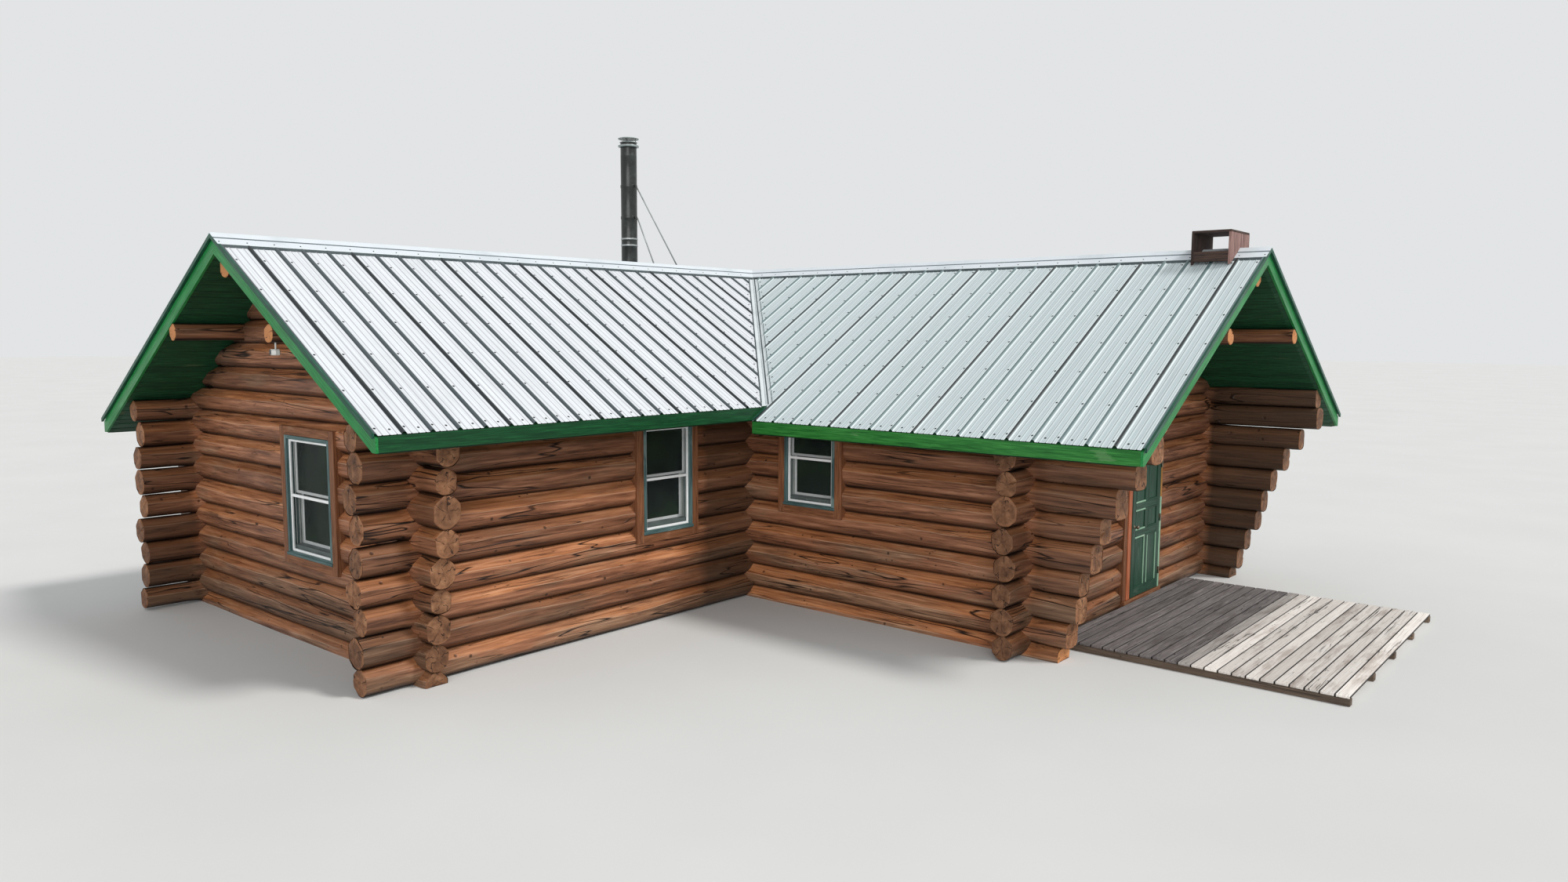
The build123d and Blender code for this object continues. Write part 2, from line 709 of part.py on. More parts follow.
sheet_outlines = {
    "a_east": [(RIDGE_A_X, rake_a - SHEET_EAVE_LAP),
               (eave_east + SHEET_EAVE_LAP, rake_a - SHEET_EAVE_LAP),
               (eave_east + SHEET_EAVE_LAP, valley_y(eave_east + SHEET_EAVE_LAP) - VALLEY_GUTTER),
               (RIDGE_A_X, RIDGE_B_Y - VALLEY_GUTTER)],
    "a_west": [(RIDGE_A_X, rake_a - SHEET_EAVE_LAP), junction,
               (eave_west - SHEET_EAVE_LAP, hip_y(eave_west - SHEET_EAVE_LAP)),
               (eave_west - SHEET_EAVE_LAP, rake_a - SHEET_EAVE_LAP)],
    "b_south": [(RIDGE_A_X + VALLEY_GUTTER, RIDGE_B_Y),
                (lapped_edge, valley_y(lapped_edge - VALLEY_GUTTER)),
                (lapped_edge, eave_south - SHEET_EAVE_LAP),
                (rake_b + SHEET_EAVE_LAP, eave_south - SHEET_EAVE_LAP),
                (rake_b + SHEET_EAVE_LAP, RIDGE_B_Y)],
    "b_north": [junction, (rake_b + SHEET_EAVE_LAP, RIDGE_B_Y),
                (rake_b + SHEET_EAVE_LAP, eave_north + SHEET_EAVE_LAP),
                (eave_west - SHEET_EAVE_LAP, hip_y(eave_west - SHEET_EAVE_LAP))],
}


def roof_sheets():
    rib_a = rake_a + FIRST_RIB_A
    rib_b = rake_b - FIRST_RIB_A - RIB_PITCH * math.floor((rake_b - RIDGE_A_X) / RIB_PITCH + 14)
    start_a = rake_a - SHEET_EAVE_LAP
    end_b = rake_b + SHEET_EAVE_LAP
    sheets = {}
    for name, slope in SLOPES.items():
        if slope.along == "x":
            sheet = ribbed_sheet(slope, rib_a, start_a, FAR / 2, sheet_outlines[name])
        else:
            sheet = ribbed_sheet(slope, rib_b, -FAR / 2, end_b, sheet_outlines[name])
        sheets[f"steel_{name}"] = [sheet]
    return sheets


def cap_strips(first, second, first_outline, second_outline):
    low = RIB_HEIGHT + 0.3
    high = low + CAP_THICKNESS
    return one_solid(first.layer(low, high, first_outline) + second.layer(low, high, second_outline))


def ridge_and_hip_caps():
    """Bent caps that meet in mitres over the valley and the hip."""
    width = RIDGE_CAP_WIDTH
    end_a = rake_a - SHEET_EAVE_LAP
    end_b = rake_b + SHEET_EAVE_LAP
    cap_a = cap_strips(
        east, west,
        [(RIDGE_A_X, end_a), (RIDGE_A_X + width, end_a),
         (RIDGE_A_X + width, valley_y(RIDGE_A_X + width)), junction],
        [(RIDGE_A_X, end_a), junction, (RIDGE_A_X - width, hip_y(RIDGE_A_X - width)),
         (RIDGE_A_X - width, end_a)])
    start_b = width * PITCH_B / PITCH_A
    cap_b = cap_strips(
        south, north,
        [junction, (RIDGE_A_X + start_b, RIDGE_B_Y - width), (end_b, RIDGE_B_Y - width),
         (end_b, RIDGE_B_Y)],
        [junction, (end_b, RIDGE_B_Y), (end_b, RIDGE_B_Y + width),
         (RIDGE_A_X - start_b, RIDGE_B_Y + width)])
    foot_x = eave_west - SHEET_EAVE_LAP
    foot_y = hip_y(foot_x)
    top_x = RIDGE_A_X - width - HIP_CAP_SETBACK
    top_y = hip_y(top_x)
    hip_cap = cap_strips(
        west, north,
        [(top_x, top_y), (foot_x, foot_y), (foot_x, foot_y - width * 1.4),
         (top_x, top_y - width * 1.4)],
        [(top_x, top_y), (top_x + width * 1.4, top_y), (foot_x + width * 1.4, foot_y),
         (foot_x, foot_y)])
    return {"ridge_cap_a": [cap_a], "ridge_cap_b": [cap_b], "hip_cap": [hip_cap]}


def valley_flashing():
    """A bent strip in the valley, between the roof boards and the steel sheets."""
    width = VALLEY_FLASHING_WIDTH
    foot = eave_east
    foot_y = valley_y(foot)
    low = -SHEET_LAYER_GAP + 0.3
    high = -0.3
    top = (RIDGE_A_X, RIDGE_B_Y)
    strip_a = [top, (foot, foot_y), (foot, foot_y - width), (RIDGE_A_X, RIDGE_B_Y - width)]
    strip_b = [top, (RIDGE_A_X + width, RIDGE_B_Y), (foot + width, foot_y), (foot, foot_y)]
    return [one_solid(east.layer(low, high, strip_a) + south.layer(low, high, strip_b))]


# Fascias at the eaves and rake boards at the gables
def level_fascia(low, high, slope, place):
    top = slope.height(place) - (SHEET_LAYER_GAP + 1) * slope.stretch
    return box_between((*low, top - FASCIA_HEIGHT), (*high, top))


def eave_fascias():
    thick = FASCIA_THICKNESS
    far_y = valley_y(eave_east)
    return {
        "fascia_a_east": [level_fascia((eave_east, rake_a), (eave_east + thick, far_y - 30),
                                       east, eave_east + thick)],
        "fascia_a_west": [level_fascia((eave_west - thick, rake_a), (eave_west, eave_north),
                                       west, eave_west - thick)],
        "fascia_b_south": [level_fascia((lapped_edge, eave_south - thick), (rake_b, eave_south),
                                        south, eave_south - thick)],
        "fascia_b_north": [level_fascia((eave_west - thick, eave_north),
                                        (rake_b, eave_north + thick),
                                        north, eave_north + thick)],
    }


def rake_board(slope, end, start, stop):
    """One board on the gable end, plumb at the ridge and cut level with the foot of the fascia."""
    high = -(SHEET_LAYER_GAP + 1)
    low = high - RAKE_DEPTH
    foot = slope.height(stop) + high * slope.stretch - FASCIA_HEIGHT
    below = box_between((-FAR, -FAR, -FAR), (FAR, FAR, foot))
    inner, outer = sorted((start, stop))
    if slope.along == "x":
        outline = [(inner, end - RAKE_THICKNESS), (outer, end - RAKE_THICKNESS), (outer, end),
                   (inner, end)]
    else:
        outline = [(end, inner), (end + RAKE_THICKNESS, inner), (end + RAKE_THICKNESS, outer),
                   (end, outer)]
    return one_solid(slope.layer(low, high, outline) - below)


def rake_boards():
    thick = FASCIA_THICKNESS
    return {
        "rake_boards_a": [rake_board(east, rake_a, RIDGE_A_X + 0.2, eave_east + thick),
                          rake_board(west, rake_a, RIDGE_A_X - 0.2, eave_west - thick)],
        "rake_boards_b": [rake_board(south, rake_b, RIDGE_B_Y - 0.2, eave_south - thick),
                          rake_board(north, rake_b, RIDGE_B_Y + 0.2, eave_north + thick)],
    }


# Stove pipe, with a band, a rain cap, a flashing cone and two braces down to the ridge
CONE_HEIGHT = 170
CONE_RADIUS = 235
BAND_HEIGHT = 45
BAND_THICKNESS = 5


def stove_pipe():
    roof = west.height(PIPE_X)
    foot = roof - ROOF_THICKNESS * west.stretch
    outer = rod((PIPE_X, PIPE_Y, foot - 200), (PIPE_X, PIPE_Y, PIPE_TOP), PIPE_RADIUS)
    flue = rod((PIPE_X, PIPE_Y, foot - 300), (PIPE_X, PIPE_Y, PIPE_TOP + 1),
               PIPE_RADIUS - PIPE_WALL)
    return [one_solid(outer - flue)]


def pipe_bands():
    bands = []
    for height in [PIPE_BAND_HEIGHT] + BRACE_HEIGHTS:
        ring = rod((PIPE_X, PIPE_Y, height), (PIPE_X, PIPE_Y, height + BAND_HEIGHT),
                   PIPE_RADIUS + BAND_THICKNESS)
        hole = rod((PIPE_X, PIPE_Y, height - 1), (PIPE_X, PIPE_Y, height + BAND_HEIGHT + 1),
                   PIPE_RADIUS + 0.3)
        bands.append(one_solid(ring - hole))
    return bands


def pipe_flashing():
    foot = west.height(PIPE_X) - PITCH_A * CONE_RADIUS
    base = foot - 60
    top = west.height(PIPE_X) + CONE_HEIGHT
    cone = Solid.make_cone(CONE_RADIUS, PIPE_RADIUS + 12, top - base,
                           Plane(origin=(PIPE_X, PIPE_Y, base)))
    hole = rod((PIPE_X, PIPE_Y, base - 1), (PIPE_X, PIPE_Y, top + 1), PIPE_RADIUS + 0.3)
    above = west.band(RIB_HEIGHT + 0.3, SKY)
    return [one_solid((cone - hole) & above)]


def pipe_cap():
    """A flat rain cap on three legs that stand on the pipe's rim."""
    low = PIPE_TOP
    plate = rod((PIPE_X, PIPE_Y, low + CAP_LEG_HEIGHT),
                (PIPE_X, PIPE_Y, low + CAP_LEG_HEIGHT + 6), CAP_RADIUS)
    collar = rod((PIPE_X, PIPE_Y, low), (PIPE_X, PIPE_Y, low + 8), CAP_RADIUS)
    collar -= rod((PIPE_X, PIPE_Y, low - 1), (PIPE_X, PIPE_Y, low + 9), PIPE_RADIUS - PIPE_WALL)
    cap = plate + collar
    for number in range(3):
        angle = math.radians(30 + 120 * number)
        x = PIPE_X + (PIPE_RADIUS - PIPE_WALL / 2) * math.cos(angle)
        y = PIPE_Y + (PIPE_RADIUS - PIPE_WALL / 2) * math.sin(angle)
        cap += rod((x, y, low), (x, y, low + CAP_LEG_HEIGHT + 1), 7)
    return [one_solid(cap)]


def pipe_braces():
    """Rods from the bands down to flat feet that are screwed to the roof near the ridge."""
    braces = []
    for foot_y, height in zip(BRACE_FEET_Y, BRACE_HEIGHTS):
        foot_z = west.height(BRACE_FOOT_X) + RIB_HEIGHT * west.stretch
        reach = Vector(BRACE_FOOT_X - PIPE_X, foot_y - PIPE_Y, 0).normalized()
        start = Vector(PIPE_X, PIPE_Y, height + BAND_HEIGHT / 2) + reach * PIPE_RADIUS
        end = Vector(BRACE_FOOT_X, foot_y, foot_z + 8)
        band = rod((PIPE_X, PIPE_Y, height - 200), (PIPE_X, PIPE_Y, height + 200),
                   PIPE_RADIUS + BAND_THICKNESS + SCRIBE_GAP)
        bar = rod(tuple(start), tuple(end), BRACE_RADIUS) - band
        foot_outline = [(BRACE_FOOT_X - 45, foot_y - 30), (BRACE_FOOT_X + 45, foot_y - 30),
                        (BRACE_FOOT_X + 45, foot_y + 30), (BRACE_FOOT_X - 45, foot_y + 30)]
        plate = west.layer(RIB_HEIGHT + 0.3, RIB_HEIGHT + 5, foot_outline)
        braces.append(one_solid((bar & west.band(RIB_HEIGHT + 0.5, SKY)) + plate))
    return braces


# Chimney box
def chimney_box():
    """Two side boards notched over the ridge, a lid, and an apron board at each open end."""
    low_y = RIDGE_B_Y - BOX_HALF_LENGTH
    high_y = RIDGE_B_Y + BOX_HALF_LENGTH
    box = box_between((BOX_START_X, low_y, BOX_TOP - BOX_BOARD), (BOX_END_X, high_y, BOX_TOP))
    foot = 4000
    for start in (BOX_START_X, BOX_END_X - BOX_BOARD):
        box += box_between((start, low_y, foot), (start + BOX_BOARD, high_y, BOX_TOP))
    apron_top = south.height(low_y) + BOX_APRON_HEIGHT + 80
    for start in (low_y, high_y - BOX_BOARD):
        box += box_between((BOX_START_X, start, foot), (BOX_END_X, start + BOX_BOARD, apron_top))
    clear = RIB_HEIGHT + CAP_THICKNESS + 0.6
    for slope, outer in ((south, low_y - 10), (north, high_y + 10)):
        inner = RIDGE_B_Y
        outline = [(BOX_START_X - 10, inner), (BOX_END_X + 10, inner), (BOX_END_X + 10, outer),
                   (BOX_START_X - 10, outer)]
        box -= slope.layer(-2000, clear, outline)
    return [one_solid(box)]


# Small camera on a stem, under the end of a purlin
def eave_camera():
    x = purlin_east_x
    y = pole_end_a + CAMERA_SETBACK
    middle = pole_height(east, purlin_east_x, PURLIN_RADIUS)
    centre = middle - PURLIN_RADIUS - CAMERA_DROP
    length, width, depth = CAMERA_BODY
    stem = rod((x, y, centre), (x, y, middle), 9)
    base = rod((x, y, middle - PURLIN_RADIUS - 22), (x, y, middle), 30)
    body = box_between((x - length * 0.65, y - width / 2, centre - depth / 2),
                       (x + length * 0.35, y + width / 2, centre + depth / 2))
    purlin = rod((x, pole_end_a - 100, middle), (x, pole_end_a + 400, middle),
                 PURLIN_RADIUS + SCRIBE_GAP)
    return [one_solid(stem + base + body - purlin)]


def scribe_walls(poles):
    """Fits each log over the ones below it, from the sill up, and lets in windows and door."""
    ordered = sorted((log for logs in WALLS.values() for log in logs), key=lambda log: log.height)
    pole_tools = [tool for solids in poles.values() for tool in solids]
    openings = [window.opening() for window in WINDOWS] + [doorway()]
    ground = box_between((-FAR / 2, -FAR / 2, -1000), (FAR / 2, FAR / 2, 0))
    fitted = {}
    for index, log in enumerate(ordered):
        tools = [ground] + pole_tools + openings + attics
        tools += [lower.solid(SCRIBE_GAP) for lower in ordered[:index] if log.lies_on(lower)]
        fitted[id(log)] = cut([log.solid()], tools)
    return fitted


os.makedirs("parts", exist_ok=True)

poles = make_poles()
fitted = scribe_walls(poles)
for name, logs in WALLS.items():
    pieces = [piece for log in logs for piece in fitted[id(log)]]
    if name == "entry_wall_b":
        over = [p for p in pieces if p.bounding_box().max.Z > rough_top]
        beside = [p for p in pieces if p.bounding_box().max.Z <= rough_top]
        write("entry_wall_b_over", over)
        write("entry_wall_b_left", [p for p in beside if p.center().Y < DOOR_CENTRE_Y])
        write("entry_wall_b_right", [p for p in beside if p.center().Y > DOOR_CENTRE_Y])
    else:
        write(name, pieces)

for name, solids in poles.items():
    write(name, solids)
pipe_hole = rod((PIPE_X, PIPE_Y, 0), (PIPE_X, PIPE_Y, SKY), PIPE_RADIUS + SCRIBE_GAP)
for name, slope in SLOPES.items():
    write(f"roof_boards_{name}", cut([slope.layer(soffit, -SHEET_LAYER_GAP)], [pipe_hole]))
for name, solids in roof_sheets().items():
    write(name, cut(solids, [pipe_hole]))
for group in (ridge_and_hip_caps(), eave_fascias(), rake_boards()):
    for name, solids in group.items():
        write(name, solids)
write("valley_flashing", valley_flashing())

sashes_and_panes = [window.sash_and_glass() for window in WINDOWS]
write("window_casings", [window.casing() for window in WINDOWS])
write("window_frames", [window.frame() for window in WINDOWS])
write("window_sashes", [sash for sash, panes in sashes_and_panes])
write("window_glass", [pane for sash, panes in sashes_and_panes for pane in panes])

write("door_frame", door_frame())
write("door_threshold", [door_threshold()])
write("door_leaf", [door_leaf()])
fixed_hinges, swinging_hinges = hinge_pieces()
write("door_hinges_fixed", fixed_hinges)
write("door_hinges_swinging", swinging_hinges)
write("door_handles", door_handles())

floor, joists = floor_pieces()
write("floor_boards", floor)
write("floor_joists", joists)
deck, sleepers = deck_pieces()
write("deck_boards", deck)
write("deck_sleepers", sleepers)

write("stove_pipe", stove_pipe())
write("stove_pipe_bands", pipe_bands())
write("stove_pipe_flashing", pipe_flashing())
write("stove_pipe_cap", pipe_cap())
write("stove_pipe_braces", pipe_braces())
write("chimney_box", chimney_box())
write("eave_camera", eave_camera())
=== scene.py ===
import math
from collections import namedtuple
import bpy
import numpy as np
from mathutils import Matrix, Vector


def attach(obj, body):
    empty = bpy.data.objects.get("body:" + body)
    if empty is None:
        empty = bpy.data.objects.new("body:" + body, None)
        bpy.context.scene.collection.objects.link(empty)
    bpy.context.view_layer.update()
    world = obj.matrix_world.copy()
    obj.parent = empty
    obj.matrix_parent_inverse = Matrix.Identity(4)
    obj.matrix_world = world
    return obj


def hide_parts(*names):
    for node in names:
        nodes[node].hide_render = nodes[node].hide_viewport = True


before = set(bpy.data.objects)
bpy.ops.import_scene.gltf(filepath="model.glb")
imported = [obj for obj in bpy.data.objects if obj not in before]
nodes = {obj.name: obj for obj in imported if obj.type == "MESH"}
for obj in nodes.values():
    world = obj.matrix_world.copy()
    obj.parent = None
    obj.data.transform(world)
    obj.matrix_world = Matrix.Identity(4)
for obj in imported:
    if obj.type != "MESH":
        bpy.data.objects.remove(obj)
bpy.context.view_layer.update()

# Everything is in metres, in the frame of the CAD part. A and B are the two wings.
WALL_A_GABLE = -5.233
WALL_A_WEST = -5.45
WALL_B_ENTRY = 4.378
WALL_B_NORTH = 5.75
RIDGE = 4.797
RIDGE_A = -2.497
RIDGE_B = 2.84
PITCH_A = 0.602
PITCH_B = 0.587
STRETCH_A = math.hypot(1, PITCH_A)
STRETCH_B = math.hypot(1, PITCH_B)
EAVE_EAST = 0.849
EAVE_WEST = -6.25
EAVE_SOUTH = -0.884
EAVE_NORTH = RIDGE_B + PITCH_A * (RIDGE_A - EAVE_WEST) / PITCH_B
RAKE_A = -6.136
RAKE_B = 6.08
LAPPED_EDGE = 0.877
SOFFIT_DROP = 0.168
RIB_PITCH = 0.3048

# Heights and radii of the courses of the walls along x and along y, and ends of the stepped logs
X_COURSES = [0, 0.310, 0.620, 0.930, 1.240, 1.565, 1.895, 2.210, 2.525, 2.830]
X_RADII = [0.160, 0.165, 0.165, 0.160, 0.172, 0.172, 0.178, 0.160, 0.172, 0.155]
Y_COURSES = [0.155, 0.465, 0.775, 1.080, 1.400, 1.735, 2.050, 2.370, 2.680, 2.980]
Y_RADII = [0.165, 0.165, 0.165, 0.165, 0.175, 0.175, 0.170, 0.170, 0.165, 0.165]
STUB_A_EAST_ENDS = [0.270, 0.300, 0.340, 0.400, 0.455, 0.550, 0.570, 0.565, 0.605, 0.600]
CORBEL_SOUTH = [4.900, 4.990, 5.100, 5.120, 5.260, 5.350, 5.530, 5.730, 5.900, 5.950]
CORBEL_NORTH = [4.950, 5.055, 5.155, 5.290, 5.370, 5.490, 5.650, 5.850, 6.080, 6.050]
EXTRA_COURSE = 0.3
EXTRA_RADIUS = 0.165


def chance(*keys):
    """A repeatable number from 0 to 1 for these keys."""
    total = math.sin(sum((index + 1) * 12.9898 * key for index, key in enumerate(keys)) + 4.1) * 43758.5453
    return total - math.floor(total)


def valley_y(x):
    return RIDGE_B - PITCH_A * (x - RIDGE_A) / PITCH_B


def valley_x(y):
    return RIDGE_A + PITCH_B * (RIDGE_B - y) / PITCH_A


def hip_y(x):
    return RIDGE_B + PITCH_A * (RIDGE_A - x) / PITCH_B


def hip_x(y):
    return RIDGE_A - PITCH_B * (y - RIDGE_B) / PITCH_A


def soffit_height(x, y):
    """Height of the underside of the roof boards above any points of the plan."""
    a = RIDGE - SOFFIT_DROP * STRETCH_A - PITCH_A * np.abs(x - RIDGE_A)
    b = RIDGE - SOFFIT_DROP * STRETCH_B - PITCH_B * np.abs(y - RIDGE_B)
    valley = np.where(y < EAVE_SOUTH, a, np.where(x > EAVE_EAST, b, np.maximum(a, b)))
    east = np.where(y < RIDGE_B, valley, b)
    west = np.where(y < RIDGE_B, a, np.minimum(a, b))
    return np.where(x > RIDGE_A, east, west)


# Materials
class Field:
    """An output in a node tree. Methods and arithmetic add a node that works on it and give that one's."""

    def __init__(self, tree, socket):
        self.tree = tree
        self.socket = socket

    def scaled(self, x, y, z):
        return add_node(self.tree, "VectorMath", {0: self, 1: (x, y, z)}, operation="MULTIPLY")

    def shifted(self, x, y, z):
        return add_node(self.tree, "VectorMath", {0: self, 1: (x, y, z)}, operation="ADD")

    def length(self):
        return add_node(self.tree, "VectorMath", {0: self}, "Value", operation="LENGTH")

    def part(self, axis):
        return add_node(self.tree, "SeparateXYZ", {0: self}, axis)

    def noise(self, scale, detail=3.0, rough=0.5, warp=0.0):
        """Noise at one scale, or at one for each axis."""
        place = self
        if isinstance(scale, tuple):
            place, scale = self.scaled(*scale), 1.0
        return add_node(self.tree, "TexNoise", {"Vector": place, "Scale": scale, "Detail": detail,
                                                "Roughness": rough, "Distortion": warp})

    def cells(self, scale, out="Distance"):
        return add_node(self.tree, "TexVoronoi", {"Vector": self, "Scale": scale}, out)

    def calc(self, operation, other=0.0):
        return add_node(self.tree, "Math", {0: self, 1: other}, operation=operation)

    def __add__(self, other):
        return self.calc("ADD", other)

    def __sub__(self, other):
        return self.calc("SUBTRACT", other)

    def __rsub__(self, other):
        return add_node(self.tree, "Math", {0: other, 1: self}, operation="SUBTRACT")

    def __mul__(self, other):
        return self.calc("MULTIPLY", other)

    def __abs__(self):
        return self.calc("ABSOLUTE")

    def spread(self, low, high, start=0.0, end=1.0):
        """Maps low..high smoothly to start..end, and holds beyond them."""
        return add_node(self.tree, "MapRange", {"Value": self, "From Min": low, "From Max": high,
                                                "To Min": start, "To Max": end},
                        "Result", interpolation_type="SMOOTHSTEP")

    def fade(self, low, high, most=1.0):
        return self.spread(low, high, most, 0.0)

    def mix(self, first, second):
        """A colour between two, by this share."""
        return add_node(self.tree, "Mix", {0: self, 6: linear(first), 7: linear(second)}, 2, data_type="RGBA")

    def ramp(self, *stops):
        """Colours at positions from 0 to 1."""
        result = add_node(self.tree, "ValToRGB", {0: self})
        elements = result.socket.node.color_ramp.elements
        while len(elements) < len(stops):
            elements.new(0.5)
        for element, (position, colour) in zip(elements, stops):
            element.position = position
            element.color = linear(colour)
        return result

    def toned(self, tone, *tints):
        """The colour times tints that stand evenly over a tone of 0 to 1."""
        tint = tone.ramp(*((k / (len(tints) - 1), (*tint, 1)) for k, tint in enumerate(tints)))
        return add_node(self.tree, "Mix", {0: 1.0, 6: self, 7: tint}, 2, data_type="RGBA",
                        blend_type="MULTIPLY")


def linear(colour):
    """Three numbers from 0 to 255 become a linear colour, and anything else stays as it is."""
    if isinstance(colour, Field) or len(colour) == 4:
        return colour
    shares = [value / 255 for value in colour]
    return (*(s / 12.92 if s <= 0.04045 else ((s + 0.055) / 1.055) ** 2.4 for s in shares), 1.0)


def feed(socket, value):
    if isinstance(value, Field):
        value.tree.links.new(value.socket, socket)
    else:
        socket.default_value = value


def add_node(tree, kind, inputs=None, out=0, **settings):
    """Adds a shader node with its settings and inputs, and gives one of its outputs."""
    node = tree.nodes.new("ShaderNode" + kind)
    for name, value in settings.items():
        setattr(node, name, value)
    for socket, value in (inputs or {}).items():
        feed(node.inputs[socket], value)
    return Field(tree, node.outputs[out])


class Finish:
    """A node material under construction."""

    def __init__(self, name, roughness, specular=0.5, metallic=0.0):
        self.material = bpy.data.materials.new(name)
        self.material.use_nodes = True
        self.tree = self.material.node_tree
        self.shader = self.tree.nodes["Principled BSDF"]
        for socket, value in (("Roughness", roughness), ("Specular IOR Level", specular),
                              ("Metallic", metallic)):
            self.set(socket, value)

    def set(self, socket, value):
        feed(self.shader.inputs[socket], value)

    def place(self):
        return add_node(self.tree, "TexCoord", out="Object")

    def attributes(self, *names):
        """The grain's place, or numbers, that the mesh carries at its points."""
        return [add_node(self.tree, "Attribute", out="Vector" if name == "grain" else "Fac",
                         attribute_name=name) for name in names]

    def done(self, colour, roughness, *bumps):
        """Sets the colour, the roughness unless it is None, and bumps of (height, distance, strength)."""
        self.set("Base Color", colour)
        if roughness is not None:
            self.set("Roughness", roughness)
        normal = {}
        for height, distance, strength in bumps:
            normal = {"Normal": add_node(self.tree, "Bump", {"Distance": distance, "Strength": strength,
                                                             "Height": height, **normal}, "Normal")}
        self.set("Normal", normal["Normal"])
        return self.material


def crack_lines(grain, along, across, width, amount):
    """Thin lines along the grain, where 0 is on a line and 1 is off it."""
    near = abs(grain.noise((along, across, across), 1.5, 0.5, 0.3) - 0.5).spread(0.0, width)
    patch = grain.noise((along * 0.9, across * 0.22, across * 0.22), 2.0)
    return near.calc("MAXIMUM", patch.spread(amount - 0.04, amount + 0.04))


def log_side():
    """Stained logs with checks and knots, painted light on their upper flats with a painted highlight,
    painted shade on the undersides and at the dark seams, and greyer where painted shade is set.
    """
    finish = Finish("stained_log", 0.5, 0.28)
    grain, tone, seam, shade = finish.attributes("grain", "tone", "seam", "shade")
    up = grain.part(2)
    streaks = grain.noise((1.3, 24, 24), 6.0, 0.62, 0.4)
    patches = grain.noise((0.8, 3.2, 3.2), 4.0, 0.6)
    fine = grain.noise((9, 230, 230), 2.0, 0.6)
    colour = streaks.ramp((0.28, (74, 44, 30)), (0.46, (132, 87, 63)), (0.58, (158, 108, 80)),
                          (0.76, (194, 142, 112)))
    grey = streaks.ramp((0.3, (84, 66, 52)), (0.55, (134, 110, 88)), (0.8, (182, 158, 134)))
    low = finish.place().part(2).fade(0.1, 1.5, 0.20)
    colour = (patches + low).spread(0.54, 0.74, 0.0, 0.62).mix(colour, grey)
    wander = grain.noise((0.55, 0.0, 0.0), 2.0)
    level = up + (wander - 0.5) * 0.13 + (tone - 0.5) * 0.04
    # Painted light: the upper flats of each log are orange as if sunlit, and the glint is a painted highlight
    # along their edge.
    painted_sunlit_flat = level.spread(0.052, 0.066)
    orange = streaks.ramp((0.3, (122, 72, 44)), (0.5, (172, 112, 72)), (0.76, (208, 150, 110)))
    colour = (painted_sunlit_flat * patches.spread(0.35, 0.7, 0.95, 0.45)).mix(colour, orange)
    glint = abs(level - 0.054).fade(0.002, 0.007) * patches.spread(0.36, 0.52)
    colour = (glint * 0.55).mix(colour, (204, 162, 132))
    # Painted shade: the undersides of the logs are darker.
    colour = (up.spread(-0.03, -0.13) * 0.45).mix(colour, (58, 36, 24))
    colour = colour.toned(tone, (0.70, 0.68, 0.66), (1.0, 0.99, 0.97), (1.30, 1.26, 1.20))
    # Painted shade, mixed in where the shade attribute is set.
    colour = (shade * 0.72).mix(colour, (56, 46, 36))
    spots = grain.shifted(0.3, 0.1, 0.2)
    knot = spots.cells(4.6).fade(0.05, 0.13) * spots.cells(4.6, "Color").part(0).spread(0.55, 0.60)
    colour = (knot * 0.8).mix(colour, (44, 26, 18))
    long_spots = spots.scaled(0.7, 1, 1)
    chosen = long_spots.cells(10.0, "Color").part(1).spread(0.62, 0.66)
    colour = (long_spots.cells(10.0).fade(0.07, 0.12) * chosen * 0.85).mix(colour, (26, 16, 12))
    cracks = crack_lines(grain, 0.42, 8.0, 0.016, 0.47)
    hairs = crack_lines(grain, 1.1, 22.0, 0.018, 0.45)
    colour = cracks.mix((24, 14, 10), colour)
    colour = (hairs * 0.6 + 0.4).mix((44, 26, 18), colour)
    # Painted shade along the seams between the logs, where seam is set.
    colour = (seam * 0.92).mix(colour, (20, 12, 9))
    return finish.done(colour, patches.spread(0.35, 0.7, 0.40, 0.64), (streaks, 0.007, 0.6),
                       (fine, 0.0012, 0.35), (cracks, 0.012, 0.9), (hairs, 0.004, 0.7), (knot, 0.008, 0.6),
                       (painted_sunlit_flat, 0.006, 0.5))


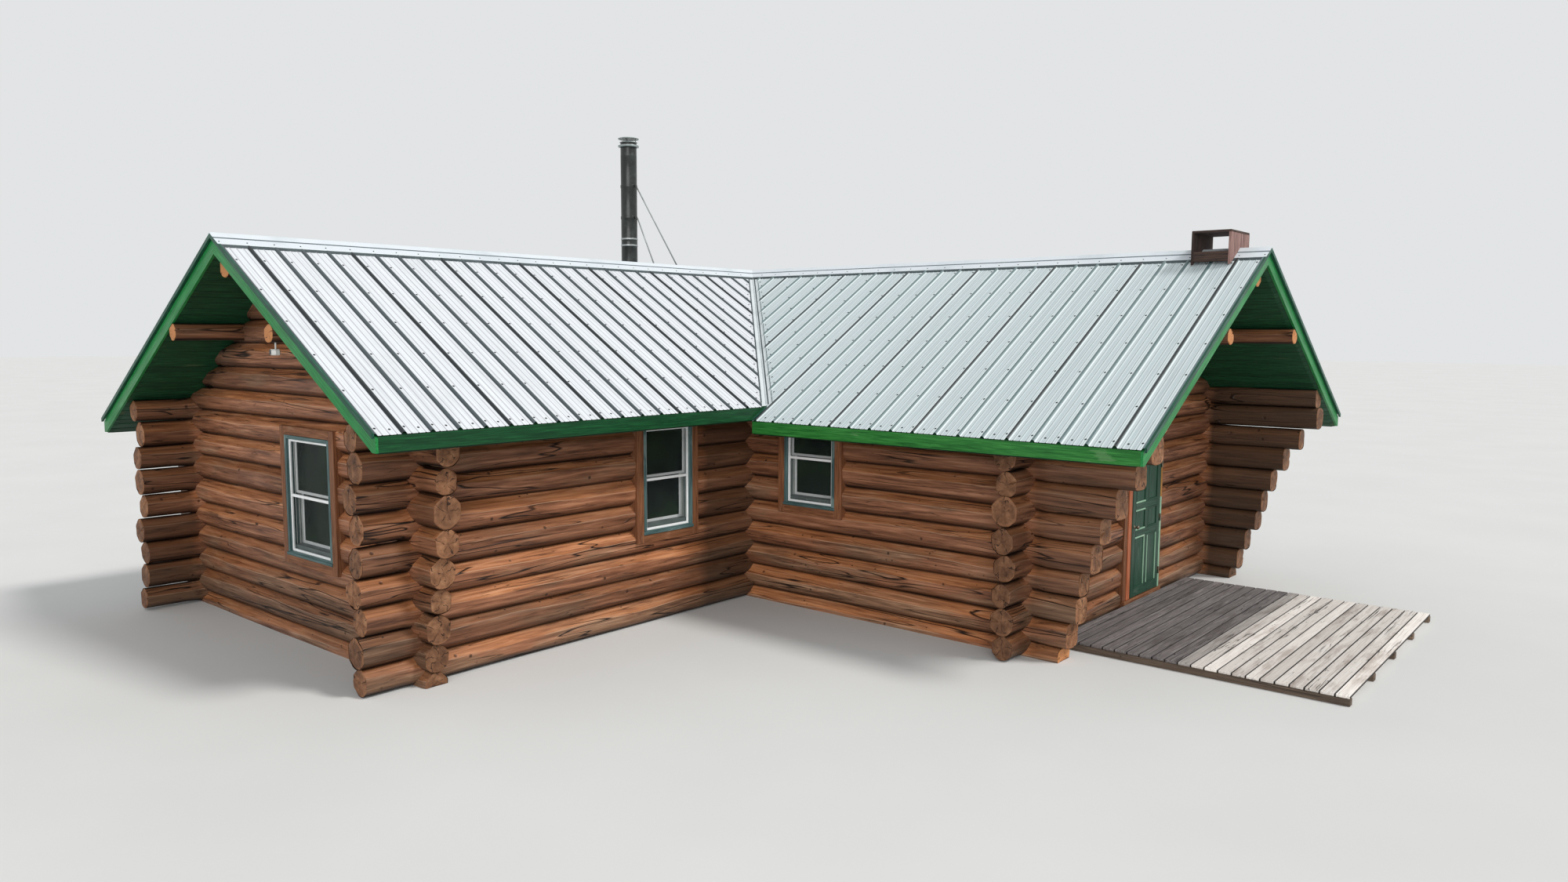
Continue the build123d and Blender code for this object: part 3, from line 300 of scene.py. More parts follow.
def log_end():
    """Sawn ends with rings about the heart, a paler rim as a painted highlight, and splits."""
    finish = Finish("log_end_grain", 0.62, 0.3)
    grain, tone, shade = finish.attributes("grain", "tone", "shade")
    reach = grain.scaled(0, 1, 1).length()
    radius = reach + grain.noise(14.0, 3.0, 0.6) * 0.016
    rings = (radius * 700.0).calc("SINE")
    blotch = grain.noise(8.0, 5.0, 0.64)
    colour = blotch.ramp((0.28, (84, 54, 36)), (0.5, (142, 98, 68)), (0.72, (184, 136, 100)))
    colour = rings.spread(-0.2, 0.9, 0.0, 0.30).mix(colour, (84, 52, 36))
    colour = radius.fade(0.010, 0.040, 0.5).mix(colour, (74, 44, 30))
    # Painted highlight: a paler rim round the edge of the end.
    colour = reach.spread(0.128, 0.146, 0.0, 0.35).mix(colour, (182, 128, 92))
    # Painted light: ends whose tone reaches 1, the poles' among them, are orange as if sunlit.
    colour = tone.spread(0.985, 0.995, 0.0, 0.75).mix(colour, (214, 146, 92))
    colour = colour.toned(tone, (0.66, 0.64, 0.63), (0.92, 0.91, 0.90), (1.18, 1.15, 1.12))
    colour = (shade * 0.25).mix(colour, (84, 62, 42))
    turn = grain.part(2).calc("ARCTAN2", grain.part(1))
    split = abs((turn * 2.5 + grain.scaled(40, 6, 6).noise(2.0) * 5.0).calc("SINE"))
    deep = split.fade(0.05, 0.15) * grain.noise((23, 9, 9), 1.0).spread(0.42, 0.50)
    deep = deep * reach.spread(0.012, 0.05)
    colour = (deep * 0.9).mix(colour, (30, 17, 12))
    return finish.done(colour, None, (rings, 0.0010, 0.5), (blotch, 0.012, 0.6), (1.0 - deep, 0.010, 0.9))


def roof_steel():
    """Ribbed sheets: grain holds the place across them from a main rib, and the run down the slope.
    Tone is 1 on wing A and 0 on wing B, whose sheets are painted greyer, as painted shade for sheets seen
    against the light; the ribs carry painted shade, painted reflection and painted highlights."""
    finish = Finish("roof_steel", 0.40, 0.45)
    grain, tone = finish.attributes("grain", "tone")
    across = grain.part(0)
    beside, lap, quarter = [across.calc("PINGPONG", RIB_PITCH * share) for share in (0.5, 2, 0.125)]
    back = 1.0 - tone
    streaks = grain.noise((150, 0.5, 1), 3.0, 0.6)
    runs = grain.noise((16, 0.8, 1), 4.0, 0.6)
    dust = finish.place().noise(2.2, 4.0, 0.6)
    colour = streaks.ramp((0.32, (208, 212, 216)), (0.6, (235, 239, 243)))
    colour = runs.spread(0.52, 0.72, 0.0, 0.30).mix(colour, (190, 198, 198))
    colour = dust.spread(0.5, 0.8, 0.0, 0.16).mix(colour, (186, 190, 182))
    # Painted shade: wing B's sheets are greyer.
    colour = colour.toned(tone, (0.70, 0.775, 0.775), (1.0, 1.0, 1.0))
    # Painted highlights beside the main ribs and along the quarter lines, on wing B.
    pale = abs(beside - 0.036).fade(0.006, 0.011)
    quarter_highlight = abs(quarter - 0.014).fade(0.003, 0.007)
    colour = (pale.calc("MAXIMUM", quarter_highlight * 0.6) * back * 0.85).mix(colour, (232, 240, 240))
    # Painted shade: dark lines on the flanks of the minor ribs.
    thin = quarter.fade(0.004, 0.008) * beside.spread(0.04, 0.06)
    colour = (thin * 0.85).mix(colour, tone.ramp((0.0, (160, 172, 172)), (1.0, (170, 168, 176))))
    # Painted shade and painted reflection: dark bands on the flanks of the main ribs, with a darker painted
    # edge on wing A.
    rib_flank_shade = (beside + back * 0.007).fade(0.026, 0.033)
    colour = (rib_flank_shade * 0.95).mix(colour, tone.ramp((0.0, (88, 110, 112)), (1.0, (42, 56, 62))))
    colour = (abs(beside - 0.026).fade(0.003, 0.007) * tone * 0.8).mix(colour, (34, 44, 48))
    # Painted shade: near black along every fourth rib, where the sheets lap.
    lap_rib_shade = (beside + back * 0.008).fade(0.024, 0.031)
    colour = (lap_rib_shade * lap.fade(0.046, 0.054) * 0.95).mix(colour, (18, 25, 28))
    return finish.done(colour, runs.spread(0.3, 0.8, 0.34, 0.54), (dust, 0.010, 0.25), (runs, 0.0015, 0.3))


def painted_wood(name, dark, middle, light, roughness, wear, worn, grain_depth=0.002):
    """Brushed paint or staining on boards, with the grain showing through, worn spots, and painted shade in
    grooves where seam is set.
    """
    finish = Finish(name, roughness, 0.22)
    grain, tone, seam = finish.attributes("grain", "tone", "seam")
    streaks = grain.noise((3, 60, 60), 5.0, 0.6, 0.3)
    patches = grain.noise((1.3, 5, 5), 4.0, 0.6)
    fine = grain.noise((14, 420, 420), 2.0, 0.5)
    colour = streaks.ramp((0.3, dark), (0.5, middle), (0.72, light))
    colour = colour.toned(tone, (0.86, 0.86, 0.86), (1.12, 1.12, 1.12))
    colour = ((patches + fine * 0.12).spread(wear, wear + 0.04) * 0.6).mix(colour, worn)
    # Painted shade where seam is set: in the grooves of the soffit boards.
    colour = (seam * 0.8).mix(colour, (10, 24, 16))
    return finish.done(colour, patches.spread(0.3, 0.7, roughness - 0.1, roughness + 0.1),
                       (streaks, grain_depth, 0.6), (fine, 0.0006, 0.4))


def weathered_wood(name, dark, middle, light, cracks, stained=(80, 66, 58)):
    """Bare boards gone grey, with raised grain, long checks and stains."""
    finish = Finish(name, 0.86)
    grain, tone, seam = finish.attributes("grain", "tone", "seam")
    streaks = grain.noise((2.2, 70, 70), 6.0, 0.66, 0.5)
    patches = grain.noise((1.1, 6, 6), 5.0, 0.62)
    colour = streaks.ramp((0.28, dark), (0.5, middle), (0.74, light))
    colour = patches.spread(0.50, 0.70, 0.0, 0.6).mix(colour, stained)
    colour = grain.shifted(0.4, 0.2, 0.1).cells(7.0).fade(0.05, 0.11, 0.8).mix(colour, (40, 32, 28))
    colour = colour.toned(tone, (0.66, 0.64, 0.62), (0.96, 0.95, 0.94), (1.25, 1.24, 1.22))
    lines = crack_lines(grain, 0.8, 26.0, 0.02, cracks)
    # Painted shade where seam is set: along the edges of the deck boards, where the gaps fall.
    colour = seam.mix(lines.mix((26, 21, 19), colour), (30, 26, 24))
    return finish.done(colour, None, (streaks, 0.003, 0.7), (lines, 0.005, 0.8))


def enamel(name, colour, worn, roughness=0.35, metallic=0.0, scale=6.0):
    """Factory paint, metal or plastic with faint unevenness and dust."""
    finish = Finish(name, roughness, metallic=metallic)
    place = finish.place()
    cloud = place.noise(scale, 5.0, 0.62)
    speck = place.noise(scale * 28, 3.0, 0.6)
    colour = cloud.spread(0.42, 0.74, 0.0, 0.6).mix(colour, worn)
    colour = speck.spread(0.62, 0.7, 0.0, 0.25).mix(colour, worn)
    return finish.done(colour, cloud.spread(0.3, 0.7, roughness, roughness + 0.18), (cloud, 0.004, 0.3),
                       (speck, 0.0006, 0.3))


def window_pane():
    finish = Finish("window_glass", 0.04, 0.12)
    finish.set("Transmission Weight", 0.05)
    finish.set("IOR", 1.22)
    # Painted reflection and painted shade: the glass is dark green and its reflections are tinted green, for
    # trees mirrored in it and the dark room behind it.
    finish.set("Specular Tint", (0.62, 0.86, 0.62, 1))
    place = finish.place()
    colour = place.noise(1.3).ramp((0.36, (20, 25, 24)), (0.64, (40, 54, 38)))
    return finish.done(colour, None, (place.noise(2.2, 2.0), 0.01, 0.12))


def storm_pane():
    """Clear outer glass that lets the sashes behind it show."""
    finish = Finish("storm_glass", 0.03, 0.12)
    finish.set("Alpha", 0.12)
    tint = finish.place().noise(1.7, 2.0)
    return finish.done(tint.ramp((0.3, (44, 52, 52)), (0.7, (70, 80, 80))), None, (tint, 0.01, 0.1))


LOG = log_side()
LOG_END = log_end()
STEEL = roof_steel()
GREEN = painted_wood("green_trim_paint", (20, 98, 48), (34, 126, 64), (50, 150, 80), 0.36, 0.76,
                     (96, 150, 104))
LEAF_GREEN = painted_wood("leaf_green_paint", (24, 84, 34), (44, 116, 50), (66, 142, 68), 0.36, 0.74,
                          (96, 140, 90))
DARK_GREEN = painted_wood("dark_green_paint", (10, 50, 27), (17, 68, 37), (30, 92, 50), 0.36, 0.74,
                          (110, 146, 116))
EDGE_GREEN = painted_wood("edge_trim_green", (16, 56, 44), (26, 76, 58), (48, 104, 84), 0.34, 0.74,
                          (90, 130, 116))
SOFFIT = painted_wood("soffit_paint", (12, 46, 28), (20, 68, 42), (36, 92, 58), 0.55, 0.70,
                      (74, 90, 60), 0.004)
BROWN = painted_wood("brown_casing_stain", (84, 52, 34), (124, 80, 54), (152, 104, 72), 0.55, 0.68,
                     (150, 114, 88))
ORANGE = painted_wood("orange_jamb_stain", (130, 68, 42), (172, 98, 66), (196, 122, 86), 0.5, 0.66,
                      (150, 110, 86))
OCHRE = painted_wood("ochre_trim_stain", (126, 84, 36), (164, 114, 54), (190, 142, 80), 0.5, 0.66,
                     (170, 140, 96))
BEAD = painted_wood("pale_bead_paint", (118, 156, 130), (146, 184, 156), (176, 208, 182), 0.45, 0.7,
                    (200, 210, 190))
TEAL = painted_wood("teal_frame_paint", (52, 74, 74), (74, 100, 100), (100, 126, 125), 0.42, 0.66,
                    (130, 150, 146))
DOOR_GREEN = painted_wood("door_paint", (24, 50, 39), (36, 68, 53), (50, 86, 68), 0.4, 0.7, (74, 94, 80))
FLOOR = weathered_wood("floor_board_wood", (120, 82, 46), (160, 116, 70), (190, 146, 96), 0.35)
DECK = weathered_wood("deck_board_wood", (204, 196, 189), (244, 238, 232), (255, 252, 248), 0.43,
                      (156, 138, 126))
# Painted shadow of the roof on the deck: a half-shadowed board at its edge, and the boards in it.
DECK_HALF_SHADOWED = weathered_wood("deck_board_painted_half_shadow_wood", (132, 126, 123), (178, 172, 168), (208, 202, 198), 0.45,
                          (110, 98, 90))
DECK_SHADOWED = weathered_wood("deck_board_painted_shadow_wood", (76, 72, 72), (116, 110, 110), (160, 153, 151), 0.46,
                           (84, 74, 70))
SLEEPER = weathered_wood("deck_sleeper_wood", (74, 62, 52), (108, 92, 78), (140, 122, 106), 0.48,
                         (60, 52, 44))
BOX = weathered_wood("weathered_box_wood", (84, 60, 56), (138, 106, 100), (196, 162, 154), 0.44, (84, 62, 56))
BOX_DARK = weathered_wood("shaded_box_wood", (34, 25, 22), (66, 48, 41), (104, 80, 70), 0.5, (44, 34, 29))
WHITE = enamel("white_sash_enamel", (250, 252, 252), (228, 232, 230), 0.32)
BLACK = enamel("black_pipe_enamel", (30, 33, 32), (62, 72, 68), 0.22)
CAP_GREY = enamel("pipe_cap_steel", (158, 168, 166), (112, 122, 120), 0.32, 0.2, 12.0)
# Painted shadow: dark strips under the ridge caps and along the valley.
SHADOW_STRIP = enamel("painted_shadow_strip", (66, 78, 82), (40, 48, 50), 0.55)
# Painted shade along the fold of the ridge caps.
FOLD_SHADE = enamel("cap_fold_painted_shade", (92, 104, 110), (74, 86, 92), 0.5)
SCREW = enamel("screw_head", (50, 54, 56), (80, 78, 74), 0.45, 0.3, 20.0)
METAL = enamel("worn_hinge_metal", (128, 120, 104), (88, 80, 68), 0.38, 0.8, 20.0)
BAND = enamel("pipe_band_steel", (176, 180, 180), (120, 124, 122), 0.30, 0.7, 12.0)
PLASTIC = enamel("camera_plastic_shell", (222, 222, 218), (196, 196, 190), 0.42, 0.0, 20.0)
CAP_STEEL = enamel("cap_steel", (222, 229, 234), (192, 202, 207), 0.42, 0.0, 1.6)
VALLEY = enamel("valley_metal", (222, 228, 230), (186, 194, 196), 0.34, 0.1, 1.2)
LINER = enamel("window_liner_vinyl", (104, 116, 114), (80, 92, 90), 0.45, 0.0, 3.0)
TRACK = enamel("window_track_vinyl", (206, 210, 206), (160, 166, 162), 0.4, 0.0, 3.0)
LEAD = enamel("flashing_lead", (150, 158, 162), (110, 118, 122), 0.5, 0.3, 5.0)
PALE_ROD = enamel("brace_rod_paint", (168, 172, 172), (120, 122, 120), 0.45, 0.2, 10.0)
GLASS = window_pane()
CLEAR = storm_pane()


# Mesh pieces
class Pieces:
    """Collects many bits of mesh, with the values that their points carry, for one object."""

    def __init__(self):
        self.points = []
        self.values = {"grain": [], "tone": [], "seam": [], "shade": []}
        self.faces = []
        self.kinds = []
        self.soft = []
        self.count = 0

    def add(self, points, faces, grain=None, tone=0.5, seam=0.0, kind=0, soft=False, shade=0.0):
        """Adds a bit: grain is its place along and across the wood, kind the number of its material."""
        points = np.asarray(points, float).reshape(-1, 3)
        self.points.append(points)
        self.values["grain"].append(points if grain is None else np.asarray(grain, float).reshape(-1, 3))
        for label, values in (("tone", tone), ("seam", seam), ("shade", shade)):
            values = np.asarray(values, float).ravel()
            self.values[label].append(np.broadcast_to(values, len(points)))
        self.faces += [tuple(int(index) + self.count for index in face) for face in faces]
        self.kinds += [kind] * len(faces)
        self.soft += [soft] * len(faces)
        self.count += len(points)

    def make(self, name, materials, slot, replaces=None, body="cabin"):
        """Builds the object. It replaces the CAD node of its own name unless others are given."""
        label = "dressed_" + name if name in nodes else name
        mesh = bpy.data.meshes.new(label)
        mesh.from_pydata(np.concatenate(self.points).tolist(), [], self.faces)
        for material in materials:
            mesh.materials.append(material)
        mesh.polygons.foreach_set("material_index", self.kinds)
        mesh.polygons.foreach_set("use_smooth", self.soft)
        for value, bits in self.values.items():
            kind, key = ("FLOAT_VECTOR", "vector") if value == "grain" else ("FLOAT", "value")
            attribute = mesh.attributes.new(value, kind, "POINT")
            attribute.data.foreach_set(key, np.concatenate(bits).astype(np.float32).ravel())
        mesh.update()
        piece = bpy.data.objects.new(label, mesh)
        bpy.context.scene.collection.objects.link(piece)
        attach(piece, body)
        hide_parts(*(replaces or [name]))


def flipped(faces):
    return [face[::-1] for face in faces]


def tube_faces(rings, around):
    """Quads between rings of points that follow one another."""
    return [(base + k, base + (k + 1) % around, base + around + (k + 1) % around, base + around + k)
            for base in range(0, (rings - 1) * around, around) for k in range(around)]


CORNERS = [(x, y, z) for x in (-1, 1) for y in (-1, 1) for z in (-1, 1)]


def bevelled_block(half, bevel):
    """The points and faces of a box about the origin with a small bevel on every edge."""
    points = []
    index = {}
    for sign in CORNERS:
        for axis in range(3):
            index[sign, axis] = len(points)
            points.append([sign[i] * (half[i] - (0 if i == axis else bevel)) for i in range(3)])

    def corner(axis, side, first, second):
        sign = [first, second]
        sign.insert(axis, side)
        return tuple(sign)

    faces = []
    for axis in range(3):
        for side in (-1, 1):
            ring = [index[corner(axis, side, *pair), axis] for pair in ((-1, -1), (1, -1), (1, 1), (-1, 1))]
            faces.append(ring[::-1] if (side > 0) == (axis == 1) else ring)
    for axis in range(3):
        a, b = [i for i in range(3) if i != axis]
        for first in (-1, 1):
            for second in (-1, 1):
                low, high = [corner(axis, side, first, second) for side in (-1, 1)]
                ring = [index[low, a], index[high, a], index[high, b], index[low, b]]
                faces.append(ring if (first * second > 0) == (axis == 1) else ring[::-1])
    for sign in CORNERS:
        ring = [index[sign, axis] for axis in range(3)]
        faces.append(ring[::-1] if math.prod(sign) < 0 else ring)
    return np.array(points), faces


def board(pieces, low, high, bevel=0.003, along=None, tone=None, kind=0, shaded_edges=False):
    """A bevelled board between two corners, whose grain runs along its longest side or a given axis."""
    low, high = np.array(low, float), np.array(high, float)
    half = (high - low) / 2
    middle = (high + low) / 2
    bevel = min(bevel, float(half.min()) * 0.6)
    points, faces = bevelled_block(half, bevel)
    points = points + middle
    axis = int(np.argmax(half)) if along is None else along
    first, second = [i for i in range(3) if i != axis]
    grain = points[:, (axis, first, second)] + 10 * chance(*middle) * np.array((1, 1, 0))
    # Painted shade on the sides of the board across x, where the gaps between boards fall.
    seam = np.abs(points[:, 0] - middle[0]) > half[0] - bevel * 0.5 if shaded_edges else 0.0
    pieces.add(points, faces, grain, chance(*(middle * 3.3)) if tone is None else tone, seam, kind)


def turned(pieces, origin, axis, outline, around=24, tone=0.5, kind=0, soft=True):
    """A turned form about an axis, where outline lists (distance along the axis, radius)."""
    axis = Vector(axis).normalized()
    side = axis.orthogonal().normalized()
    other = axis.cross(side)
    points = []
    for distance, radius in outline:
        centre = Vector(origin) + axis * distance
        for step in range(around):
            angle = 2 * math.pi * step / around
            spot = centre + side * (radius * math.cos(angle)) + other * (radius * math.sin(angle))
            points.append(tuple(spot))
    pieces.add(points, tube_faces(len(outline), around), None, tone, kind=kind, soft=soft)


# Logs
AROUND = 40
TURN = np.linspace(0, 2 * math.pi, AROUND, endpoint=False)
RING_STEP = 0.105
# By the hundreds of a log's seed: how squared its high end is, how much paler as painted light (below 0,
# darker as painted shade), how much painted shade past the corners
LOG_LOOKS = {1: (0.15, -0.10, 0.35), 2: (0.15, 0.0, 0.40), 3: (0.15, 0.0, 0.70), 4: (0.85, 0.26, 0.55),
             5: (0.75, 0.0, 1.15), 6: (0.15, -0.16, 0.45), 7: (0.0, 1.0, 0.6)}
STEPPED = (4, 5)
# Flats hewn on a log: angle in degrees and share of the radius
FLATS = ((-4, 0.875), (47, 0.895), (184, 0.875), (133, 0.895), (-46, 0.945), (226, 0.945))
# Waves of the surface, each with one more lobe round the log than the last: depth and waves along it
LOBES = ((0.012, 1.3), (0.012, 2.9), (0.010, 6.1), (0.006, 14.3))
# Rings of a sawn end: share of the size and how proud
SAWN_END = ((1.0, -0.006), (0.985, -0.001), (0.93, 0.005), (0.72, 0.008), (0.44, 0.008), (0.18, 0.008))
HIDDEN_END = ((1.0, 0.0), (0.5, 0.0))


class Log:
    """A round log, level, along x or y, with its own taper, lobes, flats, bend and tone."""

    def __init__(self, along, across, height, start, end, radius, seed, corners=(-99, 99)):
        self.along, self.across, self.height = along, across, height
        self.start, self.end, self.radius = start, end, radius
        self.seed, self.corners = seed, corners
        self.squared, lift, self.shade_past_corners = LOG_LOOKS[seed // 100]
        # The tone is random, raised for a group as painted light and lowered as painted shade.
        self.tone = min(max(chance(seed, 6) + lift, 0.0), 1.0)
        self.taper = 0.11 * (0.55 + 0.45 * chance(seed, 1)) * (1 if seed % 2 else -1)
        self.oval = 0.028 * chance(seed, 2)
        self.oval_turn = math.pi * chance(seed, 3)
        self.phases = [2 * math.pi * chance(seed, 7 + k) for k in range(6)]
        least, power = (0.0, 3) if seed // 100 in STEPPED else (0.03, 1)
        self.thin = (0.03 + 0.11 * chance(seed, 31), least + 0.11 * chance(seed, 32) ** power)
        self.flats = [(math.radians(degrees + 9 * (chance(seed, 14 + k) - 0.5)),
                       share + 0.02 * chance(seed, 40 + k)) for k, (degrees, share) in enumerate(FLATS)]

    def beyond(self, along, gap):
        """How far along is past the corners by a gap, from 0 to 1 within 50 mm, at each end."""
        low, high = self.corners
        return np.clip((low - gap - along) / 0.05, 0, 1), np.clip((along - high - gap) / 0.05, 0, 1)

    def stub(self, along):
        """Share of its size that the log keeps: it is hewn a little thinner past the corners."""
        before, after = self.beyond(along, 0.17)
        return 1 - after * self.thin[1] - before * self.thin[0]

    def surface(self, along, turn):
        """Radius at distances along the log and at angles round it."""
        taper = self.taper * (0.5 - (along - self.start) / max(self.end - self.start, 0.1))
        size = 1.012 + taper + self.oval * np.cos(2 * (turn - self.oval_turn))
        for k, (depth, waves) in enumerate(LOBES):
            size = size + depth * np.sin(waves * along + k * turn + self.phases[k])
        for k, (middle, share) in enumerate(self.flats):
            first, second = self.phases[k], self.phases[5 - k]
            wave = 0.016 * np.sin(1.9 * along + first) + 0.008 * np.sin(5.3 * along + second)
            size = np.minimum(size, (share + wave + taper) / np.maximum(np.cos(turn - middle), 0.3))
        face = sum(np.maximum(np.abs(wave), 0.001) ** 6 for wave in (np.cos(turn), np.sin(turn)))
        share = np.clip((along - self.corners[1] - 0.14) / 0.2, 0, 1) * self.squared
        size = size * (1 - share) + (0.97 + 0.4 * (size - 1)) / face ** (1 / 6) * share
        return self.radius * size * self.stub(along)

    def bend(self, along):
        return 0.005 * np.sin(0.9 * along + self.phases[4]), 0.004 * np.sin(0.7 * along + self.phases[5])


def add_log(pieces, log, start, end, low_end=True, high_end=True, limits=None, below=None, above=None,
            lower=None):
    """One length of a log. limits(z) gives the ends left by the roof at each height, below and above
    clamp its height beside an opening, and lower is the log that it is scribed over."""
    count = max(int(round((end - start) / RING_STEP)), 2)
    share = np.linspace(0, 1, count + 1)
    along, turn = np.meshgrid(start + share * (end - start), TURN, indexing="ij")
    size = log.surface(along, turn)
    u = size * np.cos(turn)
    v = size * np.sin(turn)
    if limits is not None:
        least, most = limits(log.height + v)
        least, most = np.maximum(start, least), np.minimum(end, most)
        along = least + share[:, None] * (most - least)
    if lower is not None:
        drop = log.height - lower.height
        reach = lower.radius * lower.stub(along) - 0.001
        away = np.hypot(u, v + drop)
        covered = (along > lower.start - 0.02) & (along < lower.end + 0.02) & (away < reach) & (v < 0)
        push = np.where(covered, reach / np.maximum(away, 0.001), 1)
        u = u * push
        v = (v + drop) * push - drop
    sway, lift = log.bend(along)
    across = log.across + u + sway
    x, y = (along, across) if log.along == "x" else (across, along)
    z = np.minimum(log.height + v + lift, soffit_height(x, y) - 0.001)
    if below is not None:
        z = np.minimum(z, below)
    z = np.maximum(z, max(above or 0.0, 0.0))
    points = np.stack([x, y, z], 2)
    grain = np.stack([along + 7.3 * log.seed, u, v], 2)
    steep = v / np.maximum(size, 0.01)
    # Painted shade at the seams: a wide band on the underside of the log and a narrow one at its top.
    seam = np.maximum(np.clip((-steep - 0.70) / 0.16, 0, 1) ** 1.2, np.clip((steep - 0.90) / 0.07, 0, 1))
    # Painted shade: under the roof, and past the corners by the group's share.
    shade = np.clip(1 - (soffit_height(x, y) - z) / 0.75, 0, 1) * (1 if limits is None else 0.85)
    shade = np.maximum(shade, np.maximum(*log.beyond(along, 0.14)) * log.shade_past_corners)
    # Painted shade on the east wall of wing A beside the inner corner.
    if log.seed // 100 == 2:
        shade = np.maximum(shade, 0.85 * np.clip((along + 1.15) / 0.15, 0, 1))
    faces = tube_faces(count + 1, AROUND)
    pieces.add(points, flipped(faces) if log.along == "x" else faces, grain, log.tone, seam, 0, True, shade)
    under_roof = limits is not None and log.height > 2.95 - 0.25 * (log.along == "x")
    for ring, way, wanted in ((0, -1, low_end), (-1, 1, high_end)):
        sawn = wanted and not under_roof
        add_log_end(pieces, log, points[ring], grain[ring], way, sawn, shade[ring].mean())


def add_log_end(pieces, log, edge, edge_grain, way, sawn, shade):
    """The end of a log inside a ring of its points: sawn uneven and split, or plain where it is hidden."""
    centre = edge.mean(0)
    out = np.zeros(3)
    out["xy".index(log.along)] = way
    seed = log.seed + (0.37 if way < 0 else 0.71)
    split = 2 * math.pi * chance(seed, 21)
    depth = 0.034 * max(0.0, chance(seed, 22) - 0.25)
    lean, tip = [0.022 * (chance(seed, key) - 0.5) for key in (23, 24)]
    near = np.exp(-(np.angle(np.exp(1j * (TURN - split))) / 0.13) ** 2)
    steps = SAWN_END if sawn else HIDDEN_END
    points = []
    grain = []
    for part, proud in steps:
        ring = centre + (edge - centre) * part
        if sawn:
            tilt = lean * np.sin(TURN) * part + tip * np.cos(TURN) * part
            rough = 0.002 * np.sin(3 * TURN + 9 * part + 6 * seed)
            ring = ring + out * (proud + tilt + rough - depth * near * (part > 0.3))[:, None]
        points.append(ring)
        grain.append(edge_grain * [1, part, part])
    points.append([centre + out * steps[-1][1]])
    grain.append([edge_grain.mean(0) * [1, 0, 0]])
    last = len(steps) * AROUND
    faces = tube_faces(len(steps), AROUND)
    faces += [(last - AROUND + k, last - AROUND + (k + 1) % AROUND, last) for k in range(AROUND)]
    pieces.add(np.concatenate(points), flipped(faces) if (log.along == "x") == (way > 0) else faces,
               np.concatenate(grain), log.tone, kind=1, shade=shade)


def uneven(course, seed):
    return 0.035 * math.sin(2.4 * course + seed)


def course_logs(along, across, count, seed, corners, ends):
    """The logs of a wall from the ground up, where ends(course) gives where each starts and ends."""
    heights, radii = (X_COURSES, X_RADII) if along == "x" else (Y_COURSES, Y_RADII)
    extra = range(1, count - len(heights) + 1)
    heights = heights + [heights[-1] + EXTRA_COURSE * number for number in extra]
    radii = radii + [EXTRA_RADIUS for number in extra]
    return [Log(along, across, heights[c], *ends(c), radii[c], seed + c, corners) for c in range(count)]


WALLS = {
    "gable_wall_a": course_logs("x", WALL_A_GABLE, 15, 100, (WALL_A_WEST, 0), lambda c: (
        WALL_A_WEST - 0.515 + uneven(c, 1), STUB_A_EAST_ENDS[min(c, 9)])),
    "east_wall_a": course_logs("y", 0, 10, 200, (WALL_A_GABLE, 99), lambda c: (
        WALL_A_GABLE - 0.714 + uneven(c, 3), 0.3)),
    "west_wall_a": course_logs("y", WALL_A_WEST, 9, 300, (WALL_A_GABLE, WALL_B_NORTH), lambda c: (
        WALL_A_GABLE - 0.805 + uneven(c, 4), WALL_B_NORTH + 0.52 + uneven(c, 5))),
    "south_wall_b": course_logs("x", 0, 10, 400, (-99, WALL_B_ENTRY), lambda c: (-0.3, CORBEL_SOUTH[c])),
    "north_wall_b": course_logs("x", WALL_B_NORTH, 10, 500, (WALL_A_WEST, WALL_B_ENTRY), lambda c: (
        WALL_A_WEST - 0.52 + uneven(c, 6), CORBEL_NORTH[c])),
    "entry_wall_b": course_logs("y", WALL_B_ENTRY, 15, 600, (0, WALL_B_NORTH), lambda c: (
        -0.533 + uneven(c, 7), WALL_B_NORTH + 0.52 + uneven(c, 8))),
}

# Windows, with the direction and place of their walls, and 1 or -1 for the way that is outside.
# Three show in the photo and three are on the unseen sides.
Window = namedtuple("Window", "wall along place centre sill width height outside")
WINDOWS = [
    Window("gable_wall_a", "x", WALL_A_GABLE, -2.055, 1.060, 1.080, 1.450, -1),
    Window("east_wall_a", "y", 0.0, -1.750, 1.180, 0.860, 1.390, 1),
    Window("south_wall_b", "x", 0.0, 1.252, 1.412, 0.860, 1.300, -1),
    Window("west_wall_a", "y", WALL_A_WEST, -2.900, 1.060, 0.860, 1.300, -1),
    Window("west_wall_a", "y", WALL_A_WEST, 2.700, 1.060, 0.860, 1.300, -1),
    Window("north_wall_b", "x", WALL_B_NORTH, 1.252, 1.180, 0.860, 1.300, 1),
]
CASING = 0.110
ROUGH_SOUTH = 2.489
ROUGH_NORTH = 3.776
ROUGH_TOP = 2.232
# Openings in the walls: wall, span along it, bottom and top
OPENINGS = [(w.wall, w.centre - w.width / 2 - CASING, w.centre + w.width / 2 + CASING,
             w.sill - CASING, w.sill + w.height + CASING) for w in WINDOWS]
OPENINGS.append(("entry_wall_b", ROUGH_SOUTH, ROUGH_NORTH, -0.01, ROUGH_TOP))
LEAST_SLICE = 0.012


def run_a(z):
    """How far from its ridge the underside of the roof of wing A is down to a height."""
    return (RIDGE - SOFFIT_DROP * STRETCH_A - z) / PITCH_A


def run_b(z):
    return (RIDGE - SOFFIT_DROP * STRETCH_B - z) / PITCH_B


